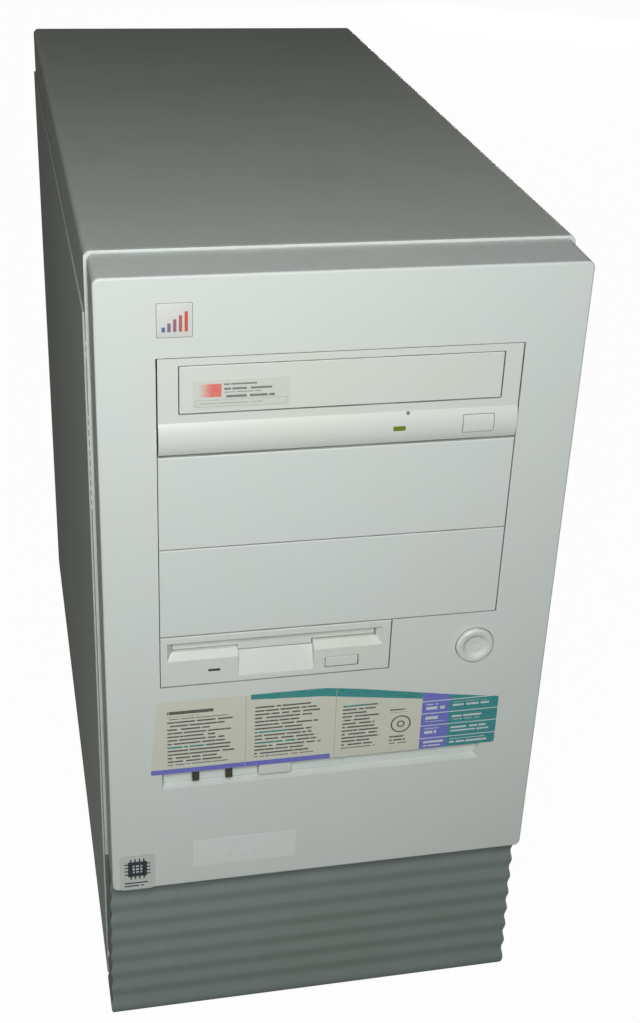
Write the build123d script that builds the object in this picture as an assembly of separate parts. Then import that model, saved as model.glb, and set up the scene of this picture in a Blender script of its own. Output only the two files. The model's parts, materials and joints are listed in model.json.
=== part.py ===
from build123d import *
from math import radians, tan
import os

os.makedirs("parts", exist_ok=True)

# Mini-tower computer. +X is the viewer's right, the face looks along -Y, +Z is up, and the
# origin is on the floor below the middle of the case. All sizes are in millimetres.

# ---- Outer form ---------------------------------------------------------------------------
plinth_height = 88.0        # floor to the lower edge of the face
face_step = 1.2             # face narrower than the cover on each side
face_height = 299.4
face_radius = 3.0           # corners of the face, seen from the front
face_edge = 1.0             # rounding of the face's front edges
bezel_depth = 28.2          # face plane to the cover's front edge
cover_width = 200.6
cover_length = 411.6
cover_rise = 1.8            # the cover's top above the face's top
cover_radius = 3.0
cover_skirt = 25.7          # cover's top down to the upper edge of a side panel
cover_overlap = 12.0        # cover's sides reach this far down behind a side panel
ledge = 1.2                 # bezel flange seen around the bezel
flange_thickness = 2.0

# ---- Walls and clearances -----------------------------------------------------------------
sheet = 0.8                 # outer steel
chassis = 1.0               # inner steel
moulding = 2.6              # plastic walls
slide_gap = 0.15            # side panel on the cover's sides
rail_gap = 0.4              # side panel's rails in their channels
button_gap = 0.25           # a button in its hole
cover_gap = 0.3             # a drive or a blank cover in the bay opening
tray_gap = 0.4              # the tray and its front in the drive
seat = 0.5                  # drive in the cage

# ---- Plinth -------------------------------------------------------------------------------
plinth_setback = 9.3        # rib crest behind the face plane, at the top
plinth_step = 0.7           # rib crests inside the cover's sides, at the top
plinth_flare = 1.6          # each wall leans out this much down to the floor
plinth_clearance = 1.5      # above the floor
rib_pitch = 10.7
rib_rise = 0.8              # depth of a valley between two ribs
plinth_wall = 2.4

# ---- Openings of the face, heights from the face's lower edge -----------------------------
bay_centre = -1.25
bay_width = 149.3
bay_pitch = 42.67
bay_count = 3
bay_top_height = 266.3
floppy_width = 102.0
floppy_height = 25.8
collar_depth = 7.0
groove_left = -75.6
groove_right = 72.5
groove_low_height = 57.0
groove_height = 13.0
groove_depth = 3.5
groove_slope = 1.1
insert_right = 7.9
lamp_centres = (-60.2, -45.1)
lamp_width = 3.3
lamp_height = 9.0
lamp_proud = 2.0
reset_left = -31.5
reset_width = 15.0
reset_height = 8.5
reset_proud = 2.5
reset_travel = 1.2
reset_switch = 2.6          # height of the switch on the indicator board
power_x = 64.9
power_drop = 16.89          # bay opening's lower edge down to the button's centre
power_radius = 8.6
power_dish = 5.8
power_dish_depth = 1.4
power_proud = 2.0
power_travel = 3.0
power_collar = 12.0
badge_left = -75.5
badge_low_height = 274.7
badge_size = 14.1
badge_depth = 0.5

# ---- CD drive -----------------------------------------------------------------------------
cd_width = 148.0            # its bezel
cd_space = 1.37             # bay pitch less the bezel's height
drive_width = 146.0         # 5.25-inch drive body
cd_length = 190.0
cd_bezel_depth = 5.0
chin_height = 13.8
chin_rise = 1.7
door_left = -66.8
door_width = 131.9
door_rise = 3.9             # chin up to the tray front
door_drop = 3.5             # bezel top down to the tray front
door_thickness = 2.6
tray_width = 128.0
tray_length = 150.0
tray_thickness = 6.0
disc_radius = 60.0
disc_small_radius = 40.6
disc_clearance = 1.2
disc_depth = 1.9
spindle_radius = 7.0
cd_button_left = 49.6
cd_button_width = 13.0
cd_button_height = 7.7
cd_button_low = 3.4         # above the bezel's lower edge
cd_button_travel = 1.2
cd_lamp_left = 20.0
cd_lamp_width = 5.2
cd_lamp_height = 2.1
cd_lamp_low = 5.8
pinhole_x = 26.2
pinhole_radius = 0.75
pinhole_low = 12.9

# ---- Floppy drive -------------------------------------------------------------------------
floppy_body_width = 99.0
floppy_body_height = 22.6
floppy_body_length = 145.0
floppy_bezel_depth = 9.0
floppy_moulding = 5.6       # depth of the drive bezel's solid front
floppy_side_gap = 1.35      # cage wall to the drive's body
channel_left = 3.0          # from the drive bezel's left edge to the channel
channel_right = 97.7
channel_low = 13.0          # above the drive bezel's lower edge
channel_high = 22.1
channel_depth = 3.0
slot_left = 5.2
slot_right = 95.4
slot_low = 15.9
slot_high = 19.9
notch_left = 33.7
notch_right = 67.1
notch_low = 3.0
notch_depth = 4.4           # of the finger notch, where the door hangs
tab_drop = 2.4              # door's middle below its wings
floppy_door_thickness = 0.9
eject_left = 72.4
eject_width = 14.7
eject_low = 3.5
eject_height = 4.9
floppy_lamp_left = 20.7
floppy_lamp_width = 5.2
floppy_lamp_height = 1.4
floppy_lamp_low = 6.3

# ---- Chassis ------------------------------------------------------------------------------
foot_height = 9.0
foot_radius = 10.0
foot_inset_x = 20.0
foot_inset_y = 30.0
pan_flange = 11.0
flange = 11.0               # folded edges of the upright sheets
hook_length = 8.0           # side panel's rails behind what they hold
rail_inset = 28.0
cage_length = 165.0
shelf_drop = 0.3            # cage shelf below the lowest bay
tray_inset = 6.5            # board tray inside the chassis wall
standoff = 5.0
vent_inset = 21.5           # rear vents from the chassis wall
vent_width = 48.0
vent_lows = (-60.0, 60.0)   # from the lower end of the card slots
vent_rise = 80.0
vent_pitch = 8.0
vent_slot = 3.2
intake_x = 45.0
intake_width = 60.0
intake_low = 26.0
intake_high = 80.0
intake_pitch = 9.0
intake_slot = 3.5

# ---- Hard drive ---------------------------------------------------------------------------
hdd_width = 101.6
hdd_height = 25.0
hdd_length = 147.0
hdd_lid = 4.0
hdd_plug = 6.0              # the plugs behind the hard drive
hdd_front_gap = 4.0
bracket_low_gap = 27.5      # height of the channel that holds it

# ---- Plugs, pegs and screws ---------------------------------------------------------------
plug_width = 56.0           # a drive's data plug
plug_height = 10.0
plug_proud = 2.0
power_plug_width = 20.0
power_plug_offset = 60.0    # from the data plug, on the CD drive
hdd_power_offset = 40.0
drive_wall = 0.8            # steel of the drives' cases
peg_width = 4.0             # snap pegs of the bezel
peg_height = 9.0
screw_radius = 1.4
screw_hole = 1.45
psu_screw_inset = 4.0
drive_screw_length = 2.4
jack_width = 8.8            # telephone sockets of the modem
jack_height = 6.6
jack_depth = 10.0
speaker_x = -45.0
speaker_z = 53.0

# ---- Power supply -------------------------------------------------------------------------
psu_width = 150.0
psu_height = 86.0
psu_length = 140.0
psu_centre = -5.0
psu_top_gap = 6.0
fan_size = 80.0
fan_depth = 25.0
fan_bore = 38.0
fan_x = 24.0
blade_count = 7
blade_gap = 1.0
hub_radius = 17.0
fan_pin = 2.0
fan_pin_gap = 0.05
inlet_x = -55.0
inlet_width = 27.5
inlet_height = 20.0
inlet_depth = 19.0
inlet_low = 10.0            # above the supply's lower edge
outlet_low = 50.0
slider_x = -27.0
slider_travel = 4.0
slider_height = 10.0
slider_room = 11.0          # half the height of the slide switch's opening

# ---- Boards -------------------------------------------------------------------------------
board_height = 229.0
board_length = 330.0
board_thickness = 1.6
board_low = 18.0
board_rear_gap = 1.0
riser_height = 88.0         # above the board's lower edge
riser_width = 72.0
slot_pitch = 20.32
slot_count = 3
first_slot_gap = 24.4       # motherboard's face to the first card
card_length = 165.0
card_height = 96.0
bracket_width = 18.4
bracket_height = 120.0
port_proud = 6.0            # connector shells behind the cover's rear edge
cpu_from_front = 62.0
cpu_from_low = 46.0
package_size = 49.4
package_height = 3.0
socket_height = 5.0
sink_width = 50.0
sink_height = 18.0
sink_base = 4.0
sink_fin = 1.6
sink_fins = 9
memory_from_front = 34.0
memory_drop = 7.99          # cage shelf down to the modules' upper ends
memory_count = 2
memory_pitch = 12.0
memory_length = 108.0
memory_height = 22.0
holder_height = 9.0
riser_socket_height = 9.5
header_height = 9.0
cap_rise = 33.0             # row of capacitors above the processor's middle
cap_pitch = 14.0
board_chips = [(150, 40, 28, 28, 3.2), (205, 40, 28, 28, 3.2), (240, 160, 30, 18, 3.0),
               (196, 164, 22, 22, 3.0),
               (120, 172, 36, 15, 4.2)]     # from the front, from below, length, height, thickness

# ---- Leads --------------------------------------------------------------------------------
ribbon = 1.0                # thickness of a flat lead
ribbon_width = 50.0
floppy_ribbon_width = 44.0
clamp_depth = 10.0          # a flat lead's own plug
supply_plug_length = 50.0
supply_plug_depth = 14.0
supply_header = 11.0
supply_lead = 8.0           # diameter of the bundle to the motherboard
drive_lead = 4.0            # diameter of the bundles to the drives

# ---- Places worked out from the sizes above -----------------------------------------------
half = cover_width / 2
chassis_half = half - sheet
face_half = half - face_step
face_top = plinth_height + face_height
top_z = face_top + cover_rise
overall_depth = power_proud + bezel_depth + cover_length + port_proud
face_y = power_proud - overall_depth / 2
joint_y = face_y + bezel_depth
rear_y = joint_y + cover_length
rear_out = rear_y - sheet           # outer face of the rear panel
rear_in = rear_out - chassis        # inner face of the rear panel
plate_y = joint_y + chassis         # inner face of the front plate
pan_z = foot_height
floor_z = pan_z + chassis           # inside of the base pan
roof_z = top_z - sheet
seam_z = top_z - cover_skirt
cover_low = seam_z - cover_overlap
panel_in = half + slide_gap
panel_out = panel_in + sheet
hem = 10.0
cover_hem = 7.0

bay_left = bay_centre - bay_width / 2
bay_right = bay_centre + bay_width / 2
bay_top = plinth_height + bay_top_height
bay_low = bay_top - bay_count * bay_pitch
floppy_left = bay_left
floppy_right = floppy_left + floppy_width
floppy_low = bay_low - floppy_height
cd_left = bay_centre - cd_width / 2
cd_top = bay_top - cover_gap
cd_low = cd_top - (bay_pitch - cd_space)
cd_back = face_y + cd_bezel_depth + cd_length
drive_left = bay_centre - drive_width / 2
drive_right = bay_centre + drive_width / 2
fd_left = floppy_left + cover_gap
fd_width = floppy_width - 2 * cover_gap
fd_low = floppy_low + cover_gap
fd_high = bay_low - cover_gap
fd_front = face_y + floppy_bezel_depth
fd_body_low = (fd_low + fd_high - floppy_body_height) / 2
groove_low = plinth_height + groove_low_height
groove_top = groove_low + groove_height
groove_floor = face_y + groove_depth
insert_left = groove_left + groove_slope
power_z = bay_low - power_drop
psu_left = psu_centre - psu_width / 2
psu_right = psu_centre + psu_width / 2
psu_top = roof_z - psu_top_gap
psu_low = psu_top - psu_height
psu_front = rear_in - psu_length
tray_x = chassis_half - tray_inset  # face of the board tray
board_x = tray_x - standoff         # back of the motherboard
board_face = board_x - board_thickness
first_slot_x = board_face - first_slot_gap
board_back = rear_in - board_rear_gap
board_front = board_back - board_length
board_high = board_low + board_height
cage_left = drive_left - seat
cage_right = drive_right + seat
fd_body_left = cage_left + floppy_side_gap
cage_top = bay_top + chassis
shelf_z = bay_low - shelf_drop
cage_back = plate_y + cage_length


# ---- Helpers ------------------------------------------------------------------------------
def block(x0, x1, y0, y1, z0, z1):
    """Box between two opposite corners."""
    return Pos((x0 + x1) / 2, (y0 + y1) / 2, (z0 + z1) / 2) * Box(x1 - x0, y1 - y0, z1 - z0)


def rect(u0, u1, v0, v1, radius=0):
    """Sketch rectangle between two corners."""
    width, height = u1 - u0, v1 - v0
    shape = RectangleRounded(width, height, radius) if radius else Rectangle(width, height)
    return Pos((u0 + u1) / 2, (v0 + v1) / 2) * shape


def spot(u, v, radius):
    """Sketch circle at a place."""
    return Pos(u, v) * Circle(radius)


def outline(*points):
    """Sketch polygon through points."""
    return make_face(Polyline(*points, close=True))


def facing(y):
    """Plane at y whose sketches are drawn in X and Z."""
    return Plane(origin=(0, y, 0), x_dir=(1, 0, 0), z_dir=(0, -1, 0))


def front(sketch, y0, y1):
    """Solid of an X-Z sketch from y0 back to y1."""
    return extrude(facing(y1) * sketch, y1 - y0)


def side(sketch, x0, x1):
    """Solid of a Y-Z sketch from x0 to x1."""
    return extrude(Plane(origin=(x0, 0, 0), x_dir=(0, 1, 0), z_dir=(1, 0, 0)) * sketch, x1 - x0)


def plan(sketch, z0, z1):
    """Solid of an X-Y sketch from z0 up to z1."""
    return extrude(Pos(0, 0, z0) * sketch, z1 - z0)


def rod(x, z, radius, y0, y1):
    """Round bar along Y."""
    return front(spot(x, z, radius), y0, y1)


def funnel(outer, inner, y0, y1):
    """Solid that changes from one X-Z sketch at y0 to another at y1."""
    return loft([facing(y0) * outer, facing(y1) * inner])


def mirrored(shape):
    return mirror(shape, about=Plane.YZ)


def joined(shapes):
    """Fuse a list of shapes."""
    first, *rest = shapes
    return first.fuse(*rest) if rest else first


def save(shape, name):
    """Write one piece, or one group of like pieces, as its own file."""
    if isinstance(shape, (list, tuple)):
        shape = Compound(children=list(shape))
    export_step(shape, f"parts/{name}.step")


# ---- Steel case ---------------------------------------------------------------------------
def cover_outline(inset=0.0, low=cover_low):
    """Cross section of the cover's outside: flat top, round corners, straight sides."""
    shape = rect(-half + inset, half - inset, low, top_z - inset)
    corners = shape.vertices().sort_by(Axis.Y)[-2:]
    return fillet(corners, max(cover_radius - inset, 0.5))


def make_top_cover():
    shell = front(cover_outline() - cover_outline(sheet, cover_low - 1), joint_y, rear_y)
    fold = cover_outline(0, seam_z + slide_gap) - cover_outline(cover_hem, seam_z - 1)
    return shell + front(fold, rear_out, rear_y)


def rail_section():
    """Upper and lower rails of the left side panel, as bent strips."""
    hook_x = chassis_half - rail_gap
    upper_web = rect(-panel_in, -hook_x + sheet, cover_low - rail_gap - sheet, cover_low - rail_gap)
    upper_hook = rect(-hook_x, -hook_x + sheet, cover_low - rail_gap - sheet, cover_low + hook_length)
    low_x = chassis_half - chassis - rail_gap
    pan_top = floor_z + pan_flange
    lower_web = rect(-panel_in, -low_x + sheet, pan_top + rail_gap, pan_top + rail_gap + sheet)
    lower_hook = rect(-low_x, -low_x + sheet, pan_top - hook_length, pan_top + rail_gap + sheet)
    return [upper_web + upper_hook, lower_web + lower_hook]


def make_left_panel():
    skin = block(-panel_out, -panel_in, joint_y + slide_gap, rear_y, pan_z, seam_z)
    fold = block(-panel_out, -panel_in + hem, rear_out, rear_y, pan_z, cover_low - rail_gap)
    for z in (pan_z + 60, cover_low - 60):
        fold -= rod(-panel_in + hem / 2, z, 1.8, rear_out - 1, rear_y + 1)
    rails = [front(strip, joint_y + rail_inset, rear_y - rail_inset) for strip in rail_section()]
    return joined([skin, fold] + rails)


def notch_sketch(grow):
    """Room for both rails where they pass the rear panel."""
    pan_top = floor_z + pan_flange
    upper = rect(-chassis_half - 1, -chassis_half + rail_gap + sheet + grow,
                 cover_low - rail_gap - sheet - grow, cover_low + hook_length + grow)
    lower = rect(-chassis_half - 1, -chassis_half + chassis + rail_gap + sheet + grow,
                 pan_top - hook_length - grow, pan_top + rail_gap + sheet + grow)
    return upper + lower


def louvres(x0, x1, z0, z1, pitch, slot):
    """Rows of round-ended slots that fill a rectangle."""
    count = int((z1 - z0) / pitch)
    slots = [Pos((x0 + x1) / 2, z0 + (i + 0.5) * pitch) * SlotOverall(x1 - x0, slot)
             for i in range(count)]
    return joined(slots)


def make_base_pan():
    plate = block(-chassis_half, chassis_half, joint_y, rear_out, pan_z, floor_z)
    edge = block(-chassis_half, -chassis_half + chassis, plate_y, rear_in, floor_z, floor_z + pan_flange)
    pan = plate + edge + mirrored(edge)
    for x in (-chassis_half / 2, 0, chassis_half / 2):
        bead = Pos(x, (joint_y + rear_y) / 2, floor_z) * Rot(90, 0, 0) * Cylinder(3.0, cover_length - 120)
        hollow = Pos(x, (joint_y + rear_y) / 2, floor_z - chassis) * Rot(90, 0, 0)
        pan = pan + (bead & block(-half, half, joint_y, rear_y, floor_z - 0.2, floor_z + 3))
        pan -= hollow * Cylinder(2.6, cover_length - 122)
    for x, y in foot_places():
        pan -= Pos(x, y, pan_z) * Cylinder(2.0, 6)
    return pan


def foot_places():
    x = chassis_half - foot_inset_x
    return [(sx * x, y) for sx in (-1, 1) for y in (joint_y + foot_inset_y, rear_y - foot_inset_y)]


def make_feet():
    profile = make_face(Polyline((2.2, 0), (foot_radius - 1.5, 0), (foot_radius, foot_height),
                                 (1.6, foot_height), (1.6, 4.5), (4.2, 4.0), (4.2, 0.8),
                                 (2.2, 0), close=False))
    foot = revolve(Plane.XZ * profile, Axis.Z)
    return [Pos(x, y, 0) * foot for x, y in foot_places()]


def make_front_plate():
    sheet_outline = rect(-chassis_half, chassis_half, floor_z, roof_z)
    corners = sheet_outline.vertices().sort_by(Axis.Y)[-2:]
    sheet_outline = fillet(corners, cover_radius - sheet)
    bays = rect(cage_left, cage_right, shelf_z, bay_top)
    floppy = rect(cage_left, fd_body_left + floppy_body_width + seat, floppy_low - seat, bay_low)
    switch = rect(power_x - 12, power_x + 12, power_z - 12, power_z + 12, 3)
    wires = rect(-70, -20, groove_low - 4, groove_top + 6, 3)
    intake = joined([louvres(x - intake_width / 2, x + intake_width / 2, intake_low, intake_high,
                             intake_pitch, intake_slot) for x in (-intake_x, intake_x)])
    plate = front(sheet_outline - bays - floppy - switch - wires - intake, joint_y, plate_y)
    for x, z in peg_places():
        plate -= block(x - 0.5, x + peg_width + 0.5, joint_y - 1, plate_y + 1, z - 0.5, z + peg_height + 0.5)
    edge_low = floor_z + pan_flange + 1
    edge = block(-chassis_half, -chassis_half + chassis, plate_y, plate_y + flange, edge_low, cover_low)
    lip = block(-chassis_half + 8, chassis_half - 8, plate_y, plate_y + flange, roof_z - chassis, roof_z)
    return plate + edge + mirrored(edge) + lip


def port_sketch(grow=0.0):
    """Openings for the motherboard's connectors, in X and Z."""
    return joined([shape for shape, _ in port_shapes(grow)])


def d_shape(x, z, length, width, grow=0.0):
    """Upright D-shaped shell outline."""
    l, w, lean = length / 2 + grow, width / 2 + grow, 1.0
    shape = outline((x - w, z - l), (x + w, z - l + lean), (x + w, z + l - lean), (x - w, z + l))
    return fillet(shape.vertices(), 1.2)


def port_shapes(grow=0.0):
    """Each motherboard connector's opening, with its body's extent along Z."""
    x = board_face - 6.5
    z = board_high - 12
    shapes = []
    for _ in range(2):
        shapes.append((spot(x, z, 6.2 + grow), (z - 7, z + 7)))
        z -= 18
    for length in (18.6, 39.0, 18.6):
        middle = z - length / 2 - 4
        shapes.append((d_shape(x, middle, length, 9.6, grow),
                       (middle - length / 2 - 6, middle + length / 2 + 6)))
        z -= length + 16
    return shapes


def slot_x(index):
    """Middle of a rear slot bracket."""
    return first_slot_x - index * slot_pitch - 6.6


rear_slot_low = board_low + riser_height + 2
bracket_top = rear_slot_low + bracket_height


def make_rear_panel():
    shape = rect(-chassis_half, chassis_half, floor_z, roof_z)
    shape = fillet(shape.vertices().sort_by(Axis.Y)[-2:], cover_radius - sheet)
    supply = rect(psu_left + 3, psu_right - 3, psu_low + 3, psu_top - 3)
    for x in (psu_left, psu_right):
        for z in (psu_low, psu_top):
            supply -= rect(x - 7, x + 7, z - 7, z + 7)
    slots = joined([rect(slot_x(i) - 6.4, slot_x(i) + 6.4, rear_slot_low + 8, bracket_top - 8, 1)
                    for i in range(slot_count)])
    vent_left = -chassis_half + vent_inset
    vents = joined([louvres(vent_left, vent_left + vent_width, rear_slot_low + low,
                            rear_slot_low + low + vent_rise, vent_pitch, vent_slot)
                    for low in vent_lows])
    cut = supply + slots + port_sketch(0.8) + vents + notch_sketch(0.5) + psu_screw_holes()
    panel = front(shape - cut, rear_in, rear_out)
    edge_low = floor_z + pan_flange + 3
    edge = block(chassis_half - chassis, chassis_half, rear_in - flange, rear_in, edge_low, cover_low - 3)
    shelf = block(slot_x(slot_count - 1) - bracket_width / 2 - 3, slot_x(0) + bracket_width / 2 + 3,
                  rear_in - flange - 2, rear_in, bracket_top, bracket_top + chassis)
    for i in range(slot_count):
        shelf -= Pos(slot_x(i), rear_in - 6.5, bracket_top) * Cylinder(screw_hole, 4)
    for z in (pan_z + 60, cover_low - 60):
        panel -= rod(-panel_in + hem / 2, z, 1.5, rear_in - 1, rear_out + 1)
    return panel + edge + mirrored(edge) + shelf


def make_board_tray():
    low, high = floor_z + 1.5, board_high + 12
    start = board_front - 12
    shape = rect(start, rear_in, low, high)
    for i in range(5):
        shape -= spot(start + 45 + i * 62, (low + high) / 2, 18)
    plate = side(shape, tray_x, tray_x + chassis)
    lip_x = chassis_half - chassis
    plate += block(tray_x, lip_x, max(start, plate_y + flange + 2), rear_in, low, low + chassis)
    plate += side(rect(start, start + chassis, low, high), tray_x, lip_x - rail_gap - 2 * sheet)
    for y, z in standoff_places():
        plate += Pos(tray_x, y, z) * Rot(0, -90, 0) * extrude(Circle(4.0), standoff, taper=14)
    return plate


def standoff_places():
    ys = (board_front + 12, (board_front + board_back) / 2, board_back - 12)
    return [(y, z) for y in ys for z in (board_low + 8, board_high - 8)]


def make_drive_cage():
    """Folded sheet over the drives: two walls with windows and a roof."""
    low = bracket_wall_low - chassis
    section = rect(cage_left - chassis, cage_right + chassis, low, cage_top)
    section -= rect(cage_left, cage_right + chassis, low, shelf_z - chassis)
    section -= rect(cage_left, cage_right, low, bay_top)
    cage = front(section, plate_y, cage_back)
    windows = [plate_y + cage_length * (k + 0.5) / 3 for k in range(3)]
    for i in range(bay_count):
        z = shelf_z + (i + 0.5) * bay_pitch
        for y in windows:
            cage -= side(rect(y - 19, y + 19, z - 10, z + 10, 4), cage_left - 5, cage_right + 5)
    for x in (bay_centre - 44, bay_centre, bay_centre + 44):
        for y in windows:
            cage -= plan(rect(x - 15, x + 15, y - 19, y + 19, 4), bay_top - 1, cage_top + 1)
    return cage - drive_screw_holes(cage_left - 5, cage_left + 5)


def make_floppy_cage():
    """Shelf of the lowest large bay, with the floppy drive's wall and floor folded under it."""
    low = bracket_wall_low
    shelf_low = shelf_z - chassis
    section = rect(cage_left, cage_right, shelf_low, shelf_z)
    section += rect(floppy_wall, floppy_wall + chassis, low - chassis, shelf_z)
    section += rect(cage_left, floppy_wall + chassis, low - chassis, low)
    cage = front(section, plate_y, cage_back)
    lead_room = side(rect(floppy_run_front - 3, cage_back + 1, low, shelf_low), floppy_wall - 1,
                     floppy_wall + chassis + 1)
    return cage - lead_room


bracket_wall_low = floppy_low - seat
floppy_wall = fd_body_left + floppy_body_width + seat
hdd_x = (floppy_left + floppy_right) / 2
hdd_front = plate_y + hdd_front_gap
hdd_back = hdd_front + hdd_length
hdd_top = bracket_wall_low - 2 * chassis - 1.0
hdd_low = hdd_top - hdd_height + hdd_lid
plug_x = hdd_x                      # data plugs of both drives, one above the other
power_plug_x = plug_x + power_plug_offset
hdd_power_x = hdd_x + hdd_power_offset
floppy_plug_back = fd_front + floppy_body_length + 1.0
floppy_run_z = fd_body_low + 5.5    # underside of the floppy drive's flat lead
floppy_run_front = floppy_plug_back + clamp_depth + 2.0
floppy_run_back = floppy_run_front + floppy_ribbon_width
ribbon_y = hdd_back + hdd_plug + clamp_depth - ribbon
run_high = hdd_low - 6.0            # the drives' flat lead on its way to the motherboard
run_low = run_high - ribbon_width
supply_plug_y = board_front + 117.0
supply_plug_z = board_low + 218.0


def make_drive_bracket():
    """Upside-down channel under the cage that holds the hard drive."""
    top = bracket_wall_low - chassis
    inner = hdd_width / 2 + seat
    low = top - chassis - bracket_low_gap
    section = rect(hdd_x - inner - chassis, hdd_x + inner + chassis, low, top)
    section -= rect(hdd_x - inner, hdd_x + inner, low - 1, top - chassis)
    length = hdd_length + 8
    bracket = front(section, plate_y, plate_y + length)
    for k in range(3):
        y = plate_y + length * (k + 0.5) / 3
        bracket -= side(rect(y - 18, y + 18, low + 8, top - 8, 3), hdd_x - inner - 3, hdd_x + inner + 3)
    return bracket


def make_hard_drive():
    left, right = hdd_x - hdd_width / 2, hdd_x + hdd_width / 2
    shoulder = hdd_top - hdd_lid
    casting = block(left, right, hdd_front, hdd_back, hdd_low, shoulder)
    lid = plan(rect(left + 3, right - 3, hdd_front + 3, hdd_back - 16, 8), shoulder, hdd_top)
    lid = chamfer(lid.faces().sort_by(Axis.Z)[-1].edges(), 1.2)
    for x in (hdd_x - hdd_width / 3, hdd_x + hdd_width / 3):
        casting -= block(x - 9, x + 9, hdd_front - 1, hdd_front + 10, hdd_low - 1, hdd_low + 9)
    drive = casting + lid
    under = hdd_low - board_thickness
    board = block(left + 2, right - 2, hdd_front + 14, hdd_back, under, hdd_low)
    plug = block(plug_x - plug_width / 2, plug_x + plug_width / 2, hdd_back, hdd_back + hdd_plug, under,
                 hdd_low + 6)
    power_plug = block(hdd_power_x - 9, hdd_power_x + 9, hdd_back, hdd_back + hdd_plug, under, hdd_low + 8)
    chips = [block(hdd_x - 30, hdd_x - 4, hdd_front + 40, hdd_front + 66, under - 2.0, under),
             block(hdd_x + 8, hdd_x + 28, hdd_front + 50, hdd_front + 70, under - 1.6, under)]
    return drive, joined([board, plug, power_plug] + chips)


# ---- Front mouldings ----------------------------------------------------------------------


def peg_places():
    """Lower left corners of the bezel's four snap pegs."""
    left = -face_half + moulding
    right = face_half - moulding - peg_width
    return [(x, z) for x in (left, right) for z in (plinth_height + 14, face_top - 34)]


def face_opening(grow=0.0):
    """Stepped opening for three large bays and the floppy drive."""
    bays = rect(bay_left - grow, bay_right + grow, bay_low - grow, bay_top + grow)
    floppy = rect(floppy_left - grow, floppy_right + grow, floppy_low - grow, bay_low + grow)
    return bays + floppy


def groove_cutter():
    mouth = rect(groove_left, groove_right, groove_low, groove_top)
    floor = rect(groove_left + groove_slope, groove_right - groove_slope,
                 groove_low + groove_slope, groove_top - groove_slope / 2)
    return front(mouth, face_y - 1, face_y) + funnel(mouth, floor, face_y, groove_floor)


def make_front_bezel():
    face = rect(-face_half, face_half, plinth_height, face_top, face_radius)
    back_half = half - ledge
    back = rect(-back_half, back_half, plinth_height, top_z - ledge, face_radius)
    body = funnel(face, back, face_y, joint_y)
    body = fillet(body.faces().sort_by(Axis.Y)[0].edges(), face_edge)
    inside = rect(-face_half + moulding, face_half - moulding, plinth_height + moulding,
                  face_top - moulding, max(face_radius - moulding, 0.4))
    body -= front(inside, face_y + moulding, joint_y + 1)
    rim = cover_outline(0, plinth_height) - inside
    body += front(rim, joint_y - flange_thickness, joint_y)
    back_y = face_y + moulding
    collar = face_opening(2.0) - face_opening()
    body += front(collar, back_y - 0.5, back_y + collar_depth)
    body -= front(face_opening(), face_y - 1, back_y + collar_depth + 1)
    pad = rect(groove_left - 3, groove_right + 3, groove_low - 3, groove_top + 3)
    body += front(pad, back_y - 0.5, groove_floor + moulding)
    body -= groove_cutter()
    body -= front(insert_outline(0), groove_floor - 1, groove_floor + moulding + 1)
    tube = spot(power_x, power_z, power_radius + button_gap + 2)
    body += front(tube, back_y - 0.5, back_y + power_collar)
    body -= rod(power_x, power_z, power_radius + button_gap, face_y - 1, back_y + power_collar + 1)
    badge_low = plinth_height + badge_low_height
    badge = rect(badge_left, badge_left + badge_size, badge_low, badge_low + badge_size, 0.6)
    body -= front(badge, face_y - 1, face_y + badge_depth)
    for z in (plinth_height + 30, groove_top + 20, bay_top + 12):
        web = rect(-face_half + moulding - 0.5, face_half - moulding + 0.5, z, z + 1.6)
        body += front(web - face_opening(1.0) - spot(power_x, power_z, power_radius + 2), back_y - 0.5,
                      back_y + 5)
    for x, z in peg_places():
        outer_x = x - 0.5 if x < 0 else x
        body += block(outer_x, outer_x + peg_width + 0.5, joint_y - 12, joint_y + 5, z, z + peg_height)
    return body


def insert_outline(gap):
    """Outline of the insert on the groove's floor."""
    return rect(insert_left + gap, insert_right - gap, groove_low + groove_slope + gap,
                groove_top - groove_slope / 2 - gap)


lamp_low = groove_low + 1.6


def make_indicator_insert():
    gap = 0.1
    plate = front(insert_outline(gap), groove_floor, groove_floor + moulding)
    seat_rim = rect(insert_left - 2, insert_right + 2, groove_low - 1.5, groove_top + 1.5)
    plate += front(seat_rim, groove_floor + moulding, groove_floor + moulding + 1.5)
    for x in lamp_centres:
        plate -= front(lamp_sketch(x), groove_floor - 1, groove_floor + 6)
    plate -= front(reset_sketch(button_gap), groove_floor - 1, groove_floor + 6)
    return plate


def lamp_sketch(x):
    return rect(x - lamp_width / 2, x + lamp_width / 2, lamp_low + 0.4, lamp_low + lamp_height, 0.4)


def reset_sketch(gap):
    low = groove_low + groove_slope + 1.1
    return rect(reset_left - gap, reset_left + reset_width + gap, low - gap, low + reset_height + gap, 0.5)


def make_indicator_lenses():
    lenses = []
    for x in lamp_centres:
        lens = front(lamp_sketch(x), groove_floor - lamp_proud, groove_floor + moulding + 3)
        lens = fillet(lens.faces().sort_by(Axis.Y)[0].edges(), 0.35)
        lenses.append(lens)
    return lenses


def make_reset_button():
    cap_y = groove_floor - reset_proud
    cap = front(reset_sketch(0), cap_y, groove_floor + moulding + 1.5)
    cap = fillet(cap.faces().sort_by(Axis.Y)[0].edges(), 0.4)
    back_y = groove_floor + moulding + 1.5
    collar = reset_sketch(1.2)
    stop = front(collar, back_y, back_y + 1.0)
    stem = rod(reset_left + reset_width / 2, reset_z, 1.6, back_y,
               board_y - reset_switch - reset_travel - 0.2)
    return cap + stop + stem


reset_z = groove_low + groove_slope + 1.1 + reset_height / 2
board_y = groove_floor + moulding + 14      # front of the indicator board


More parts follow.
